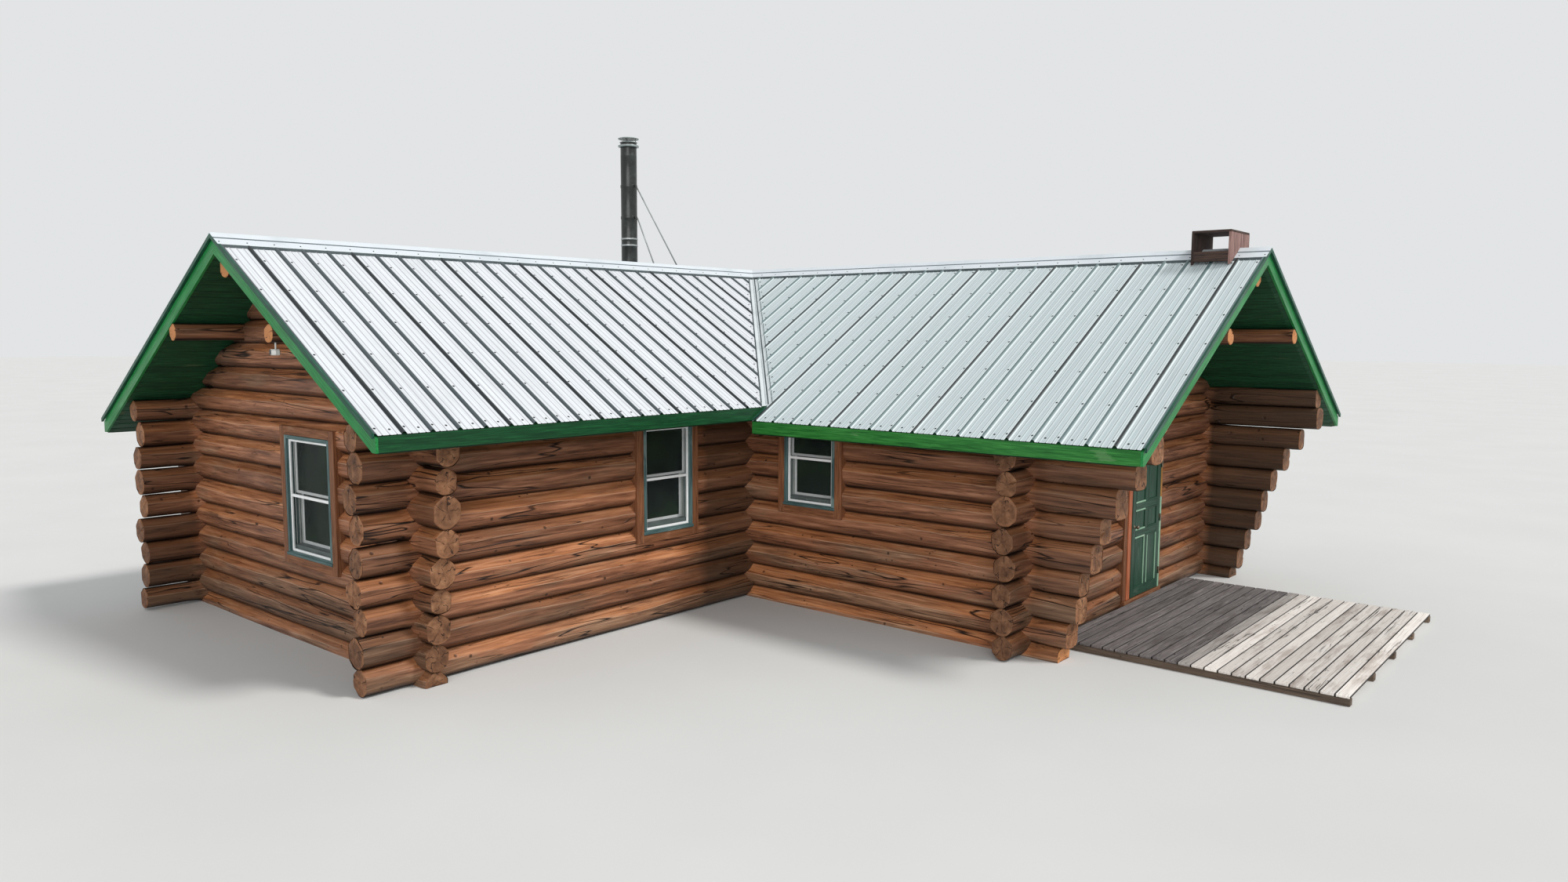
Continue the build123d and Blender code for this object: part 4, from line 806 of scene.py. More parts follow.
LIMITS = {
    "gable_wall_a": lambda z: (RIDGE_A - run_a(z), RIDGE_A + run_a(z)),
    "entry_wall_b": lambda z: (RIDGE_B - run_b(z), RIDGE_B + run_b(z)),
    "north_wall_b": lambda z: (RIDGE_A - run_a(z), 99.0),
    "west_wall_a": lambda z: (-99.0, RIDGE_B + run_b(z)),
}


def build_wall(name, logs):
    pieces = Pieces()
    limits = LIMITS.get(name)
    openings = sorted(span for wall, *span in OPENINGS if wall == name)
    for lower, log in zip([None] + logs, logs):
        low_z = log.height - log.radius
        high_z = log.height + log.radius
        place = log.start
        for left, right, bottom, top in openings:
            if bottom >= high_z or top <= low_z:
                continue
            add_log(pieces, log, place, left, place == log.start, False, limits, lower=lower)
            if bottom - low_z > LEAST_SLICE:
                add_log(pieces, log, left, right, False, False, limits, below=bottom, lower=lower)
            if high_z - top > LEAST_SLICE:
                add_log(pieces, log, left, right, False, False, limits, above=top)
            place = right
        add_log(pieces, log, place, log.end, place == log.start, True, limits, lower=lower)
    parts = [name + side for side in ("_left", "_right", "_over")] if name == "entry_wall_b" else [name]
    pieces.make("logs_" + name, [LOG, LOG_END], "stained_log", parts)


for wall_name, wall_logs in WALLS.items():
    build_wall(wall_name, wall_logs)

# Ridge poles and purlins
POLE_END_A = RAKE_A - 0.026
POLE_END_B = RAKE_B + 0.026
RIDGE_END = 0.116
RIDGE_RADIUS = 0.12
PURLIN_RADIUS = 0.10
PURLIN_DROP = 0.76
PURLIN_EAST = RIDGE_A + PURLIN_DROP / PITCH_A
PURLIN_WEST = RIDGE_A - PURLIN_DROP / PITCH_A
PURLIN_SOUTH = RIDGE_B - PURLIN_DROP / PITCH_B
PURLIN_NORTH = RIDGE_B + PURLIN_DROP / PITCH_B


def build_pole(name, along, across, start, end, seed):
    """A pole under the roof boards, with its own seed."""
    radius, drop = (RIDGE_RADIUS, 0) if "ridge" in name else (PURLIN_RADIUS, PURLIN_DROP)
    stretch = STRETCH_A if along == "y" else STRETCH_B
    height = RIDGE - drop - (SOFFIT_DROP + radius + 0.0004) * stretch
    log = Log(along, across, height, start, end, radius, seed)
    log.taper *= 0.3
    pieces = Pieces()
    add_log(pieces, log, start, end)
    pieces.make("pole_" + name, [LOG, LOG_END], "stained_log", [name])
    return height


build_pole("ridge_pole_a", "y", RIDGE_A, POLE_END_A + RIDGE_END, RIDGE_B - RIDGE_RADIUS, 701)
build_pole("ridge_pole_b", "x", RIDGE_B, RIDGE_A - RIDGE_RADIUS, POLE_END_B - RIDGE_END, 702)
purlin_level = build_pole("purlin_a_east", "y", PURLIN_EAST, POLE_END_A, PURLIN_SOUTH, 703)
build_pole("purlin_a_west", "y", PURLIN_WEST, POLE_END_A, PURLIN_NORTH, 704)
build_pole("purlin_b_south", "x", PURLIN_SOUTH, PURLIN_EAST, POLE_END_B, 705)
build_pole("purlin_b_north", "x", PURLIN_NORTH, PURLIN_WEST, POLE_END_B, 706)


# Roof
EAVE_LAP = 0.022
RAKE_LAP = 0.062
GUTTER = 0.09


class Slope:
    """A side of the roof that falls along x or y, toward sign. u runs along the ridge, from start to end,
    and top(u) and foot(u) give where the sheets begin and end down the slope."""

    def __init__(self, name, along, sign, start, end, top, foot):
        self.name, self.along, self.sign = name, along, sign
        self.start, self.end, self.top, self.foot = start, end, top, foot
        self.ridge, self.pitch = (RIDGE_A, PITCH_A) if along == "x" else (RIDGE_B, PITCH_B)
        self.stretch = math.hypot(1, self.pitch)
        self.lean = sign * self.pitch / self.stretch
        self.up = self.spot(0, self.lean, 1 / self.stretch)

    def spot(self, u, place, z):
        return (place, u, z) if self.along == "x" else (u, place, z)

    def over(self, u, place, proud):
        """The point straight above u and place, where the layer that is proud by this much lies."""
        return self.spot(u, place, RIDGE - self.pitch * abs(place - self.ridge) + proud * self.stretch)

    def square(self, u, place, proud):
        """The point at a distance square to the slope from u and place."""
        z = RIDGE - self.pitch * abs(place - self.ridge) + proud / self.stretch
        return self.spot(u, place + self.lean * proud, z)


A_EAST = Slope("a_east", "x", 1, RAKE_A - RAKE_LAP, RIDGE_B - GUTTER, lambda y: RIDGE_A,
               lambda y: min(EAVE_EAST + EAVE_LAP, valley_x(y + GUTTER)))
A_WEST = Slope("a_west", "x", -1, RAKE_A - RAKE_LAP, hip_y(EAVE_WEST - EAVE_LAP),
               lambda y: RIDGE_A if y <= RIDGE_B else hip_x(y), lambda y: EAVE_WEST - EAVE_LAP)
B_SOUTH = Slope("b_south", "y", -1, RIDGE_A + GUTTER, RAKE_B + RAKE_LAP, lambda x: RIDGE_B,
                lambda x: valley_y(x - GUTTER) if x < LAPPED_EDGE else EAVE_SOUTH - EAVE_LAP)
B_NORTH = Slope("b_north", "y", 1, EAVE_WEST - EAVE_LAP, RAKE_B + RAKE_LAP,
                lambda x: RIDGE_B if x >= RIDGE_A else hip_y(x), lambda x: EAVE_NORTH + EAVE_LAP)
SLOPES = (A_EAST, A_WEST, B_SOUTH, B_NORTH)
FIRST_RIB = {"x": RAKE_A + 0.274, "y": RAKE_B - 0.274}
MAJOR_RIB = [(-0.031, 0), (-0.0115, 0.0175), (-0.006, 0.0185), (0.006, 0.0185), (0.0115, 0.0175), (0.031, 0)]
MINOR_RIB = [(-0.010, 0), (-0.004, 0.0035), (0.004, 0.0035), (0.010, 0)]
SHEET_LIFT = 0.0016
SHEET_THICK = 0.0014
LEAST_SHEET = 0.01
# Screws as outlines of a washer and a hexagonal head, with their rows up the sheet from the eave
SHEET_SCREW = [(0, 0.014), (0.0018, 0.0135), (0.0018, 0.007), (0.006, 0.0065), (0.0064, 0.0)]
CAP_SCREW = [(0, 0.010), (0.0016, 0.0095), (0.0018, 0.006), (0.006, 0.0055), (0.0062, 0.0)]
SCREW_ROWS = [0.10 + 0.56 * number for number in range(9)]
EDGE_ROW = [0.075]
BESIDE_RIB = {"x": 0.052, "y": -0.052}
CAP_REACH = 0.16


def sheet_profile(slope):
    """The rolled section across the sheets, as (u, height above the flat), and its main ribs."""
    first = FIRST_RIB[slope.along]
    rib = first + RIB_PITCH * math.floor((slope.start - first) / RIB_PITCH - 1)
    section = [(slope.start, 0.0)]
    ribs = []
    while rib < slope.end + RIB_PITCH:
        bits = [(rib + u, h) for u, h in MAJOR_RIB]
        for share in (1 / 4, 1 / 2, 3 / 4):
            bits += [(rib + share * RIB_PITCH + u, h) for u, h in MINOR_RIB]
        section += [bit for bit in bits if slope.start + 0.002 < bit[0] < slope.end - 0.002]
        if slope.start + 0.03 < rib < slope.end - 0.03:
            ribs.append(rib)
        rib += RIB_PITCH
    section.append((slope.end, 0.0))
    if slope is B_SOUTH:
        section += [(u, float(np.interp(u, *zip(*section)))) for u in (LAPPED_EDGE - 0.0002, LAPPED_EDGE)]
    return sorted(section), ribs


def build_sheet(slope):
    pieces = Pieces()
    section, ribs = sheet_profile(slope)
    points = []
    grain = []
    for u, height in section:
        top, foot = slope.top(u), slope.foot(u)
        grain += [(u - FIRST_RIB[slope.along], abs(place - slope.ridge) * slope.stretch, 7 * slope.pitch)
                  for place in (top, foot, foot, top)]
        if (foot - top) * slope.sign < LEAST_SHEET:
            top = foot - slope.sign * LEAST_SHEET
        low = SHEET_LIFT + height
        high = low + SHEET_THICK
        points += [slope.over(u, place, proud) for place, proud in ((top, high), (foot, high), (foot, low),
                                                                    (top, low))]
    last = len(points) - 4
    faces = tube_faces(len(section), 4) + [(3, 2, 1, 0), (last, last + 1, last + 2, last + 3)]
    faces = faces if (slope.along == "x") == (slope.sign > 0) else flipped(faces)
    pieces.add(points, faces, grain, 1.0 if slope.along == "x" else 0.0)
    beside = BESIDE_RIB[slope.along]
    for rib in ribs:
        for u, rows in ((rib + beside, SCREW_ROWS), (rib - beside * 2.2, EDGE_ROW)):
            foot = slope.foot(u)
            run = abs(foot - slope.top(u)) - CAP_REACH
            for row in rows if slope.start < u < slope.end - 0.02 else ():
                if row < run:
                    spot = slope.square(u, foot - slope.sign * row, 0.003)
                    turned(pieces, spot, slope.up, SHEET_SCREW, 6, 0.4, 1, False)
    pieces.make("sheets_" + slope.name, [STEEL, SCREW], "roof_steel", ["steel_" + slope.name])


for slope in SLOPES:
    build_sheet(slope)


# Roof boards, trim and flashings
def closed_prism(pieces, first, second, tone=0.5, kind=0, along=None, seam=None):
    """A solid between two rings of as many points, whose grain runs from the first to the second."""
    size = len(first)
    points = np.concatenate([first, second]).astype(float)
    faces = tube_faces(2, size) + [tuple(range(size))[::-1], tuple(range(size, 2 * size))]
    middle = points.mean(0)
    local = points - middle
    volume = sum(np.dot(local[face[0]], np.cross(local[b], local[c]))
                 for face in faces for b, c in zip(face[1:-1], face[2:]))
    way = local[size:].mean(0) - local[:size].mean(0) if along is None else np.array(along, float)
    way = way / np.linalg.norm(way)
    side = np.cross(way, (0, 0, 1) if abs(way[2]) < 0.9 else (1, 0, 0))
    side = side / np.linalg.norm(side)
    shift = 10 * chance(*middle)
    grain = np.stack([local @ way + shift, local @ side + shift, local @ np.cross(way, side)], 1)
    pieces.add(points, flipped(faces) if volume < 0 else faces, grain, tone, (seam or [0] * size) * 2, kind)


def slab(pieces, slope, outline, low, high, kind=0):
    """A flat plate on a slope with its outline in plan."""
    rings = [[slope.over(*((y, x) if slope.along == "x" else (x, y)), proud) for x, y in outline]
             for proud in (low, high)]
    closed_prism(pieces, *rings, kind=kind, along=np.array(rings[0][1]) - rings[0][0])


def band(pieces, slope, first, second, wide, low, high):
    """A strip on a slope beside a line of the plan, as wide as a vector."""
    far = [(x + wide[0], y + wide[1]) for x, y in (second, first)]
    slab(pieces, slope, [first, second, *far], low, high)


# Eave, and ends as functions of the place down the slope, of the boards of each slope
BOARD_ENDS = {
    "a_east": (EAVE_EAST, lambda x: RAKE_A, valley_y),
    "a_west": (EAVE_WEST, lambda x: RAKE_A, hip_y),
    "b_south": (EAVE_SOUTH, lambda y: min(valley_x(y), LAPPED_EDGE), lambda y: RAKE_B),
    "b_north": (EAVE_NORTH, hip_x, lambda y: RAKE_B),
}
BOARD_WIDTH = 0.13
BOARD_TOP = -0.003
GROOVE = 0.014
GROOVE_DEPTH = 0.008
RAKE_BEVEL = 0.06
RAKE_UNDERSIDE = {"x": -0.166, "y": -0.154}
PIPE_X = -3.06
PIPE_Y = 0.5
PIPE_RADIUS = 0.13
PIPE_GAP = PIPE_RADIUS + 0.005


def roof_boards(slope):
    """Boards parallel to the ridge, with V grooves that show below, bevelled behind the rakes."""
    pieces = Pieces()
    eave, start, end = BOARD_ENDS[slope.name]
    width = abs(eave - slope.ridge)
    count = int(math.ceil(width * slope.stretch / BOARD_WIDTH))
    edge = slope.sign * GROOVE / 2
    side = GROOVE_DEPTH - SOFFIT_DROP
    least = RAKE_UNDERSIDE[slope.along]
    for number in range(count):
        near, far = [slope.ridge + slope.sign * width * line / count for line in (number, number + 1)]
        section = [(near, side), (near + edge, -SOFFIT_DROP), (far - edge, -SOFFIT_DROP), (far, side),
                   (far, BOARD_TOP), (near, BOARD_TOP)]
        spans = [(start, end)]
        if slope is A_WEST and near > PIPE_X - PIPE_RADIUS and far < PIPE_X + PIPE_RADIUS:
            spans = [(start, lambda place: PIPE_Y - PIPE_GAP), (lambda place: PIPE_Y + PIPE_GAP, end)]
        # The points at the grooves carry seam, for painted shade in the V grooves.
        look = {"tone": chance(number, slope.pitch, slope.sign), "seam": [1, 0, 0, 1, 0, 0]}
        for low_end, high_end in spans:
            ends = ((low_end, RAKE_BEVEL * (slope.along == "x" and low_end is start)),
                    (high_end, -RAKE_BEVEL * (slope.along == "y" and high_end is end)))
            rings = [[slope.over(at(place) + trim, place, proud) for place, proud in section]
                     for at, trim in ends]
            closed_prism(pieces, *rings, **look)
            for (at, trim), ring in zip(ends, rings):
                tip = [slope.over(at(place), place, max(proud, least)) for place, proud in section]
                if trim:
                    closed_prism(pieces, *((tip, ring) if trim > 0 else (ring, tip)), **look)
    pieces.make("soffit_" + slope.name, [SOFFIT], "soffit_board", ["roof_boards_" + slope.name])


for slope in SLOPES:
    roof_boards(slope)

FASCIA = 0.157
FASCIA_THICK = 0.025
TRIM_DROP = 0.004
RAKE_THICK = 0.028
RAKE_DEPTH = {"x": 0.172, "y": 0.160}
RAKE_DROP = 0.016
STRIP = 0.026


def fascia_boards():
    pieces = Pieces()
    for slope, eave, start, end, tone, kind in (
            (A_EAST, EAVE_EAST, RAKE_A, valley_y(EAVE_EAST) - 0.03, 0.4, 1),
            (A_WEST, EAVE_WEST, RAKE_A, EAVE_NORTH, 0.5, 0),
            (B_SOUTH, EAVE_SOUTH, LAPPED_EDGE, RAKE_B, 0.6, 2),
            (B_NORTH, EAVE_NORTH, EAVE_WEST - FASCIA_THICK, RAKE_B, 0.5, 0)):
        near, far = sorted((eave, eave + slope.sign * FASCIA_THICK))
        outer = far if slope.sign > 0 else near
        top = slope.over(0, outer, -TRIM_DROP)[2]
        board(pieces, slope.spot(start, near, top - FASCIA), slope.spot(end, far, top), tone=tone, kind=kind)
    pieces.make("eave_fascia_boards", [GREEN, DARK_GREEN, LEAF_GREEN], "green_trim",
                ["fascia_" + slope.name for slope in SLOPES])


fascia_boards()


def rakes(name, low, high, strip_low, edges):
    """Rake boards on a gable end with a folded metal strip over the edge of the sheets."""
    pieces = Pieces()
    strip_high = strip_low + STRIP + 0.001
    strip = [(strip_low, -0.020), (strip_high, -0.020), (strip_high, 0.0225), (strip_low, 0.0225)]
    for slope, eave in edges:
        end = eave + slope.sign * FASCIA_THICK
        near = slope.ridge + slope.sign * 0.0002
        reach = abs(end - slope.ridge)
        foot = RIDGE - slope.pitch * reach - TRIM_DROP * slope.stretch - FASCIA
        depth = RAKE_DEPTH[slope.along] * slope.stretch
        level = (RIDGE - depth - foot) / slope.pitch
        outline = [(near, RIDGE - RAKE_DROP * slope.stretch),
                   (end, foot + FASCIA - (RAKE_DROP - TRIM_DROP) * slope.stretch), (end, foot),
                   (slope.ridge + slope.sign * min(level, reach - 0.03), foot), (near, RIDGE - depth)]
        rings = [[slope.spot(u, place, z) for place, z in outline] for u in (low, high)]
        fall = slope.spot(0, slope.sign, -slope.pitch)
        closed_prism(pieces, *rings, 0.35 + 0.3 * chance(end), 0, fall)
        edge = end + slope.sign * (EAVE_LAP - FASCIA_THICK)
        closed_prism(pieces, *[[slope.over(u, place, proud) for u, proud in strip] for place in (near, edge)],
                     kind=1)
    pieces.make(name, [GREEN, EDGE_GREEN], "green_trim")


rakes("rake_boards_a", RAKE_A - RAKE_THICK, RAKE_A, RAKE_A - RAKE_LAP - 0.001,
      [(A_EAST, EAVE_EAST), (A_WEST, EAVE_WEST)])
rakes("rake_boards_b", RAKE_B, RAKE_B + RAKE_THICK, RAKE_B + RAKE_LAP - STRIP,
      [(B_SOUTH, EAVE_SOUTH), (B_NORTH, EAVE_NORTH)])

CAP_WIDTH = 0.165
HIP_WIDTH = CAP_WIDTH * 1.4
HIP_SHEET = (0.0194, 0.0222)
# Sections of the ridge caps, as (distance from the ridge, proud)
CAP_SECTION = [(0.0, 0.0330), (0.020, 0.0325), (0.082, 0.0262), (0.088, 0.0250), (0.202, 0.0240),
               (0.208, 0.0225), (0.208, 0.0190), (0.2065, 0.0190), (0.202, 0.0216), (0.0, 0.0216)]
# The foam closure strip reaches past the cap's edge as a dark band of painted shadow; the fold strip is a
# grey line of painted shade along the cap's crease.
FOAM_SECTION = [(0.192, 0.0030), (0.238, 0.0030), (0.234, 0.0150), (0.192, 0.0180)]
FOLD_SECTION = [(0.080, 0.0240), (0.100, 0.0240), (0.100, 0.0268), (0.080, 0.0268)]


def ridge_cap(name, sides):
    """A folded cap with hemmed edges, dark closure strips between the ribs that reach out under its edge as
    painted shadow, a painted shade line along its fold, and a screw at each rib.
    """
    pieces = Pieces()
    ribs = sheet_profile(sides[0][0])[1]
    for slope, start, end in sides:
        for section, kind in ((CAP_SECTION, 0), (FOAM_SECTION, 1), (FOLD_SECTION, 3)):
            spots = [(slope.ridge + slope.sign * reach, proud) for reach, proud in section]
            rings = [[slope.over(at(place), place, proud) for place, proud in spots] for at in (start, end)]
            closed_prism(pieces, *rings, 0.5, kind)
        place = slope.ridge + slope.sign * CAP_WIDTH
        for rib in ribs:
            if start(place) + 0.03 < rib < end(place) - 0.03:
                turned(pieces, slope.over(rib, place, 0.0240), slope.up, CAP_SCREW, 6, 0.4, 2, False)
    pieces.make(name, [CAP_STEEL, SHADOW_STRIP, SCREW, FOLD_SHADE], "roof_steel")


ridge_cap("ridge_cap_a", [(A_EAST, lambda x: RAKE_A - RAKE_LAP, valley_y),
                          (A_WEST, lambda x: RAKE_A - RAKE_LAP, hip_y)])
ridge_cap("ridge_cap_b", [(B_SOUTH, valley_x, lambda y: RAKE_B + RAKE_LAP),
                          (B_NORTH, hip_x, lambda y: RAKE_B + RAKE_LAP)])


def hip_cap():
    pieces = Pieces()
    top_x = RIDGE_A - CAP_WIDTH - 0.012
    foot_x = EAVE_WEST - EAVE_LAP
    line = ((top_x, hip_y(top_x)), (foot_x, hip_y(foot_x)))
    band(pieces, A_WEST, *line, (0, -HIP_WIDTH), *HIP_SHEET)
    band(pieces, B_NORTH, *line, (HIP_WIDTH, 0), *HIP_SHEET)
    pieces.make("hip_cap", [CAP_STEEL], "roof_steel")


hip_cap()

FLASHING_WIDTH = 0.210
FLASHING_SHEET = (-0.0027, -0.0003)
# Folds along the valley: distance from its line, half width, height and kind; kind 1 is a dark strip of
# painted shadow beside the sheets' edges and the middle fold
VALLEY_FOLDS = ((0.0, 0.012, 0.022, 0), (-0.070, 0.015, 0.016, 1), (0.026, 0.012, 0.012, 1),
                (0.080, 0.008, 0.012, 1))


def valley_strip():
    """A bent sheet under the edges of both roofs, with folds along its middle and edges, dark ones of painted
    shadow among them.
    """
    pieces = Pieces()
    line = ((RIDGE_A, RIDGE_B), (EAVE_EAST, valley_y(EAVE_EAST)))
    band(pieces, A_EAST, *line, (0, -FLASHING_WIDTH), *FLASHING_SHEET)
    band(pieces, B_SOUTH, *line, (FLASHING_WIDTH, 0), *FLASHING_SHEET)
    way = np.array([1, -PITCH_A / PITCH_B])
    side = np.array([-way[1], way[0]]) / np.linalg.norm(way)
    for offset, half, tall, kind in VALLEY_FOLDS:
        rings = []
        for x in (RIDGE_A + CAP_WIDTH, EAVE_EAST - 0.01):
            ring = []
            for across, lift in ((-half, -0.004), (half, -0.004), (0.0, tall)):
                spot = np.array([x, valley_y(x)]) + side * offset + side * across
                roof = max(RIDGE - PITCH_A * (spot[0] - RIDGE_A), RIDGE - PITCH_B * (RIDGE_B - spot[1]))
                ring.append((*spot, roof + lift))
            rings.append(ring)
        closed_prism(pieces, *rings, kind=kind)
    near, far = LAPPED_EDGE - 0.004, LAPPED_EDGE + 0.018
    foot = EAVE_SOUTH - EAVE_LAP
    slab(pieces, B_SOUTH, [(near, valley_y(near)), (near, foot), (far, foot), (far, valley_y(far))],
         0.0030, 0.0190, 2)
    pieces.make("valley_flashing", [VALLEY, SHADOW_STRIP, EDGE_GREEN], "roof_steel")


valley_strip()


# Windows
def window_block(pieces, window, across, up, out, kind=0, bevel=0.003):
    """A board given along the wall from the centre, above the sill, and outwards from the wall's axis."""
    u = [window.centre + value for value in across]
    place = sorted(window.place + window.outside * value for value in out)
    z = [window.sill + value for value in up]
    x, y = (u, place) if window.along == "x" else (place, u)
    board(pieces, (x[0], y[0], z[0]), (x[1], y[1], z[1]), bevel, kind=kind)


def window_ring(pieces, window, half, up, rim, out, kind=0, bevel=0.003):
    """Four boards: the sides run the whole height, and the top and bottom lie between them."""
    inner = half - rim
    for across, level in (((-half, -inner), up), ((inner, half), up),
                          ((-inner, inner), (up[0], up[0] + rim)), ((-inner, inner), (up[1] - rim, up[1]))):
        window_block(pieces, window, across, level, out, kind, bevel)


FRAME_RIM = 0.045


def build_windows():
    casings, frames, sashes, panes = [Pieces() for _ in range(4)]
    for window in WINDOWS:
        half = window.width / 2
        full = (0, window.height)
        clear = half - FRAME_RIM
        bottom, top = FRAME_RIM, window.height - FRAME_RIM
        middle = (bottom + top) / 2
        low = bottom + 0.075
        window_ring(casings, window, half + CASING, (-CASING, window.height + CASING), CASING - 0.002,
                    (-0.19, 0.19), 0, 0.006)
        window_ring(frames, window, half, full, FRAME_RIM, (0.07, 0.19), 0, 0.004)
        window_block(frames, window, (-half - 0.012, half + 0.012), (-0.004, 0.034), (0.14, 0.204), 0, 0.006)
        window_ring(frames, window, half, full, FRAME_RIM, (-0.16, 0.069), 1, 0.002)
        for place in (0.095, 0.052, 0.028, -0.018):
            window_ring(frames, window, clear + 0.002, (bottom - 0.002, top + 0.002), 0.010,
                        (place, place + 0.008), 2, 0.001)
        window_ring(sashes, window, clear, (bottom, top), 0.030, (0.134, 0.158))
        window_block(sashes, window, (-clear + 0.030, clear - 0.030), (middle - 0.017, middle + 0.017),
                     (0.134, 0.160))
        for up in ((bottom + 0.026, middle - 0.013), (middle + 0.013, top - 0.026)):
            window_block(panes, window, (-clear + 0.026, clear - 0.026), up, (0.144, 0.148), 1, 0.001)
        window_block(frames, window, (-clear, clear), (bottom, low), (-0.02, 0.125), 1, 0.004)
        window_ring(sashes, window, clear - 0.004, (middle + 0.018, top), 0.034, (0.058, 0.090))
        window_ring(sashes, window, clear - 0.006, (low, middle + 0.052), 0.036, (0.000, 0.026))
        window_block(panes, window, (-clear + 0.034, clear - 0.034), (middle + 0.048, top - 0.030),
                     (0.070, 0.076), 0, 0.001)
        window_block(panes, window, (-clear + 0.038, clear - 0.038), (low + 0.032, middle + 0.020),
                     (0.009, 0.015), 0, 0.001)
    casings.make("window_casings", [BROWN], "brown_casing")
    frames.make("window_frames", [TEAL, LINER, TRACK], "green_frame")
    sashes.make("window_sashes", [WHITE], "white_sash")
    panes.make("window_glass", [GLASS, CLEAR], "window_glass")


build_windows()

# Entry door
DOOR_SOUTH = 2.720
DOOR_NORTH = 3.680
LEAF_BOTTOM = 0.156
LEAF_TOP = 2.166
LEAF_FACE = 4.556
LEAF_BACK = 4.511
JAMB_BACK = 4.256
STOP = (4.465, 4.505)
STOP_WIDTH = 0.014
DOOR_GAP = 0.006
SILL_TOP = 0.15
STILE = 0.11
MIDDLE_STILE = (3.155, 3.245)
RAILS = ((LEAF_BOTTOM, 0.27), (0.985, 1.075), (1.36, 1.45), (2.06, LEAF_TOP))
BEAD_WIDTH = 0.022
SIDE_BEAD = 0.020
KNOB = [(0, 0.0), (0, 0.030), (0.004, 0.030), (0.007, 0.024), (0.009, 0.012), (0.030, 0.010), (0.038, 0.016),
        (0.044, 0.025), (0.054, 0.027), (0.064, 0.024), (0.070, 0.016), (0.072, 0.0)]


def door_frame():
    pieces = Pieces()
    south = DOOR_SOUTH - DOOR_GAP
    north = DOOR_NORTH + DOOR_GAP
    head = LEAF_TOP + DOOR_GAP
    # Boards of the jambs and the head: y, z, face, grain axis, tone and kind
    for y, z, face, along, tone, kind in (
            ((ROUGH_SOUTH + 0.006, south - 0.118), (SILL_TOP, ROUGH_TOP), LEAF_FACE - 0.012, 2, 0.2, 0),
            ((south - 0.114, south - 0.060), (SILL_TOP, ROUGH_TOP), LEAF_FACE, 2, 0.9, 1),
            ((south - 0.058, south), (SILL_TOP, ROUGH_TOP), LEAF_FACE - 0.006, 2, 0.5, 1),
            ((north, north + 0.052), (SILL_TOP, 0.95), LEAF_FACE, 2, 0.3, 3),
            ((north, north + 0.052), (0.951, 1.45), LEAF_FACE, 2, 0.5, 3),
            ((north, north + 0.052), (1.451, ROUGH_TOP), LEAF_FACE, 2, 0.9, 2),
            ((north + 0.054, ROUGH_NORTH), (SILL_TOP, ROUGH_TOP), LEAF_FACE - 0.01, 2, 0.3, 0),
            ((south, north), (head, ROUGH_TOP), LEAF_FACE, 1, 0.5, 0)):
        bevel = 0.005 if y[0] > ROUGH_SOUTH + 0.01 else 0.006
        board(pieces, (JAMB_BACK, y[0], z[0]), (face, y[1], z[1]), bevel, along, tone, kind)
    near, far = DOOR_SOUTH + STOP_WIDTH, DOOR_NORTH - STOP_WIDTH
    for y, low, along in (((south, near), SILL_TOP, 2), ((far, north), SILL_TOP, 2),
                          ((near, far), LEAF_TOP - STOP_WIDTH, 1)):
        board(pieces, (STOP[0], y[0], low), (STOP[1], y[1], head), 0.003, along, 0.4, 1)
    pieces.make("door_frame", [BROWN, ORANGE, OCHRE, BEAD], "brown_casing")


def door_leaf():
    """A painted leaf of rails, stiles and set-back panels, with pale beads along some of the panels."""
    pieces = Pieces()

    def piece(y, z, axis, tone, bevel=0.004, x=(LEAF_BACK, LEAF_FACE), pale=False):
        board(pieces, (x[0], y[0], z[0]), (x[1], y[1], z[1]), bevel, axis, tone, int(pale))

    inside = (DOOR_SOUTH + STILE, DOOR_NORTH - STILE)
    piece((DOOR_SOUTH, inside[0]), (LEAF_BOTTOM, LEAF_TOP), 2, 0.4)
    piece((inside[1], DOOR_NORTH), (LEAF_BOTTOM, LEAF_TOP), 2, 0.6)
    for rail in RAILS:
        piece(inside, rail, 1, 0.5)
    for (_, low), (high, _) in zip(RAILS, RAILS[1:]):
        piece(MIDDLE_STILE, (low, high), 2, 0.5)
        lowest, highest = low < 0.5, low > 1.3
        for left, right in ((inside[0], MIDDLE_STILE[0]), (MIDDLE_STILE[1], inside[1])):
            south = left < MIDDLE_STILE[0]
            piece((left, right), (low, high), 2, 0.7, 0.001, (LEAF_BACK + 0.010, LEAF_FACE - 0.010))
            for x in ((LEAF_FACE - 0.012, LEAF_FACE + 0.003), (LEAF_BACK - 0.003, LEAF_BACK + 0.012)):
                inner = (low + BEAD_WIDTH, high - BEAD_WIDTH)
                piece((left, right), (low, inner[0]), 1, 0.5, x=x, pale=south and not lowest)
                piece((left, right), (inner[1], high), 1, 0.5, x=x, pale=south and not highest)
                piece((left, left + SIDE_BEAD), inner, 2, 0.5, x=x, pale=lowest and not south)
                piece((right - SIDE_BEAD, right), inner, 2, 0.5, x=x, pale=lowest)
    pieces.make("door_leaf", [DOOR_GREEN, BEAD], "door_paint", body="door")


def door_knobs():
    pieces = Pieces()
    for face, way in ((LEAF_FACE, 1), (LEAF_BACK, -1)):
        turned(pieces, (face, DOOR_SOUTH + 0.062, LEAF_BOTTOM + 0.98), (way, 0, 0), KNOB)
    pieces.make("door_knobs", [METAL], "hinge_metal", ["door_handles"], "door")


door_frame()
door_leaf()
door_knobs()

# Floor, threshold and deck
WALL_EDGE = 0.1654
FLOOR_START = -5.2846
FLOOR_END = 4.2126
FLOOR_LEVELS = (0.141, 0.19)
FLOOR_PITCH = 0.14
CORNER_SOUTH = -0.3204
CORNER_NORTH = 0.32
JOIST_WIDTH = 0.09
JOIST_TOP = 0.14
JOIST_SPACING = 1.15


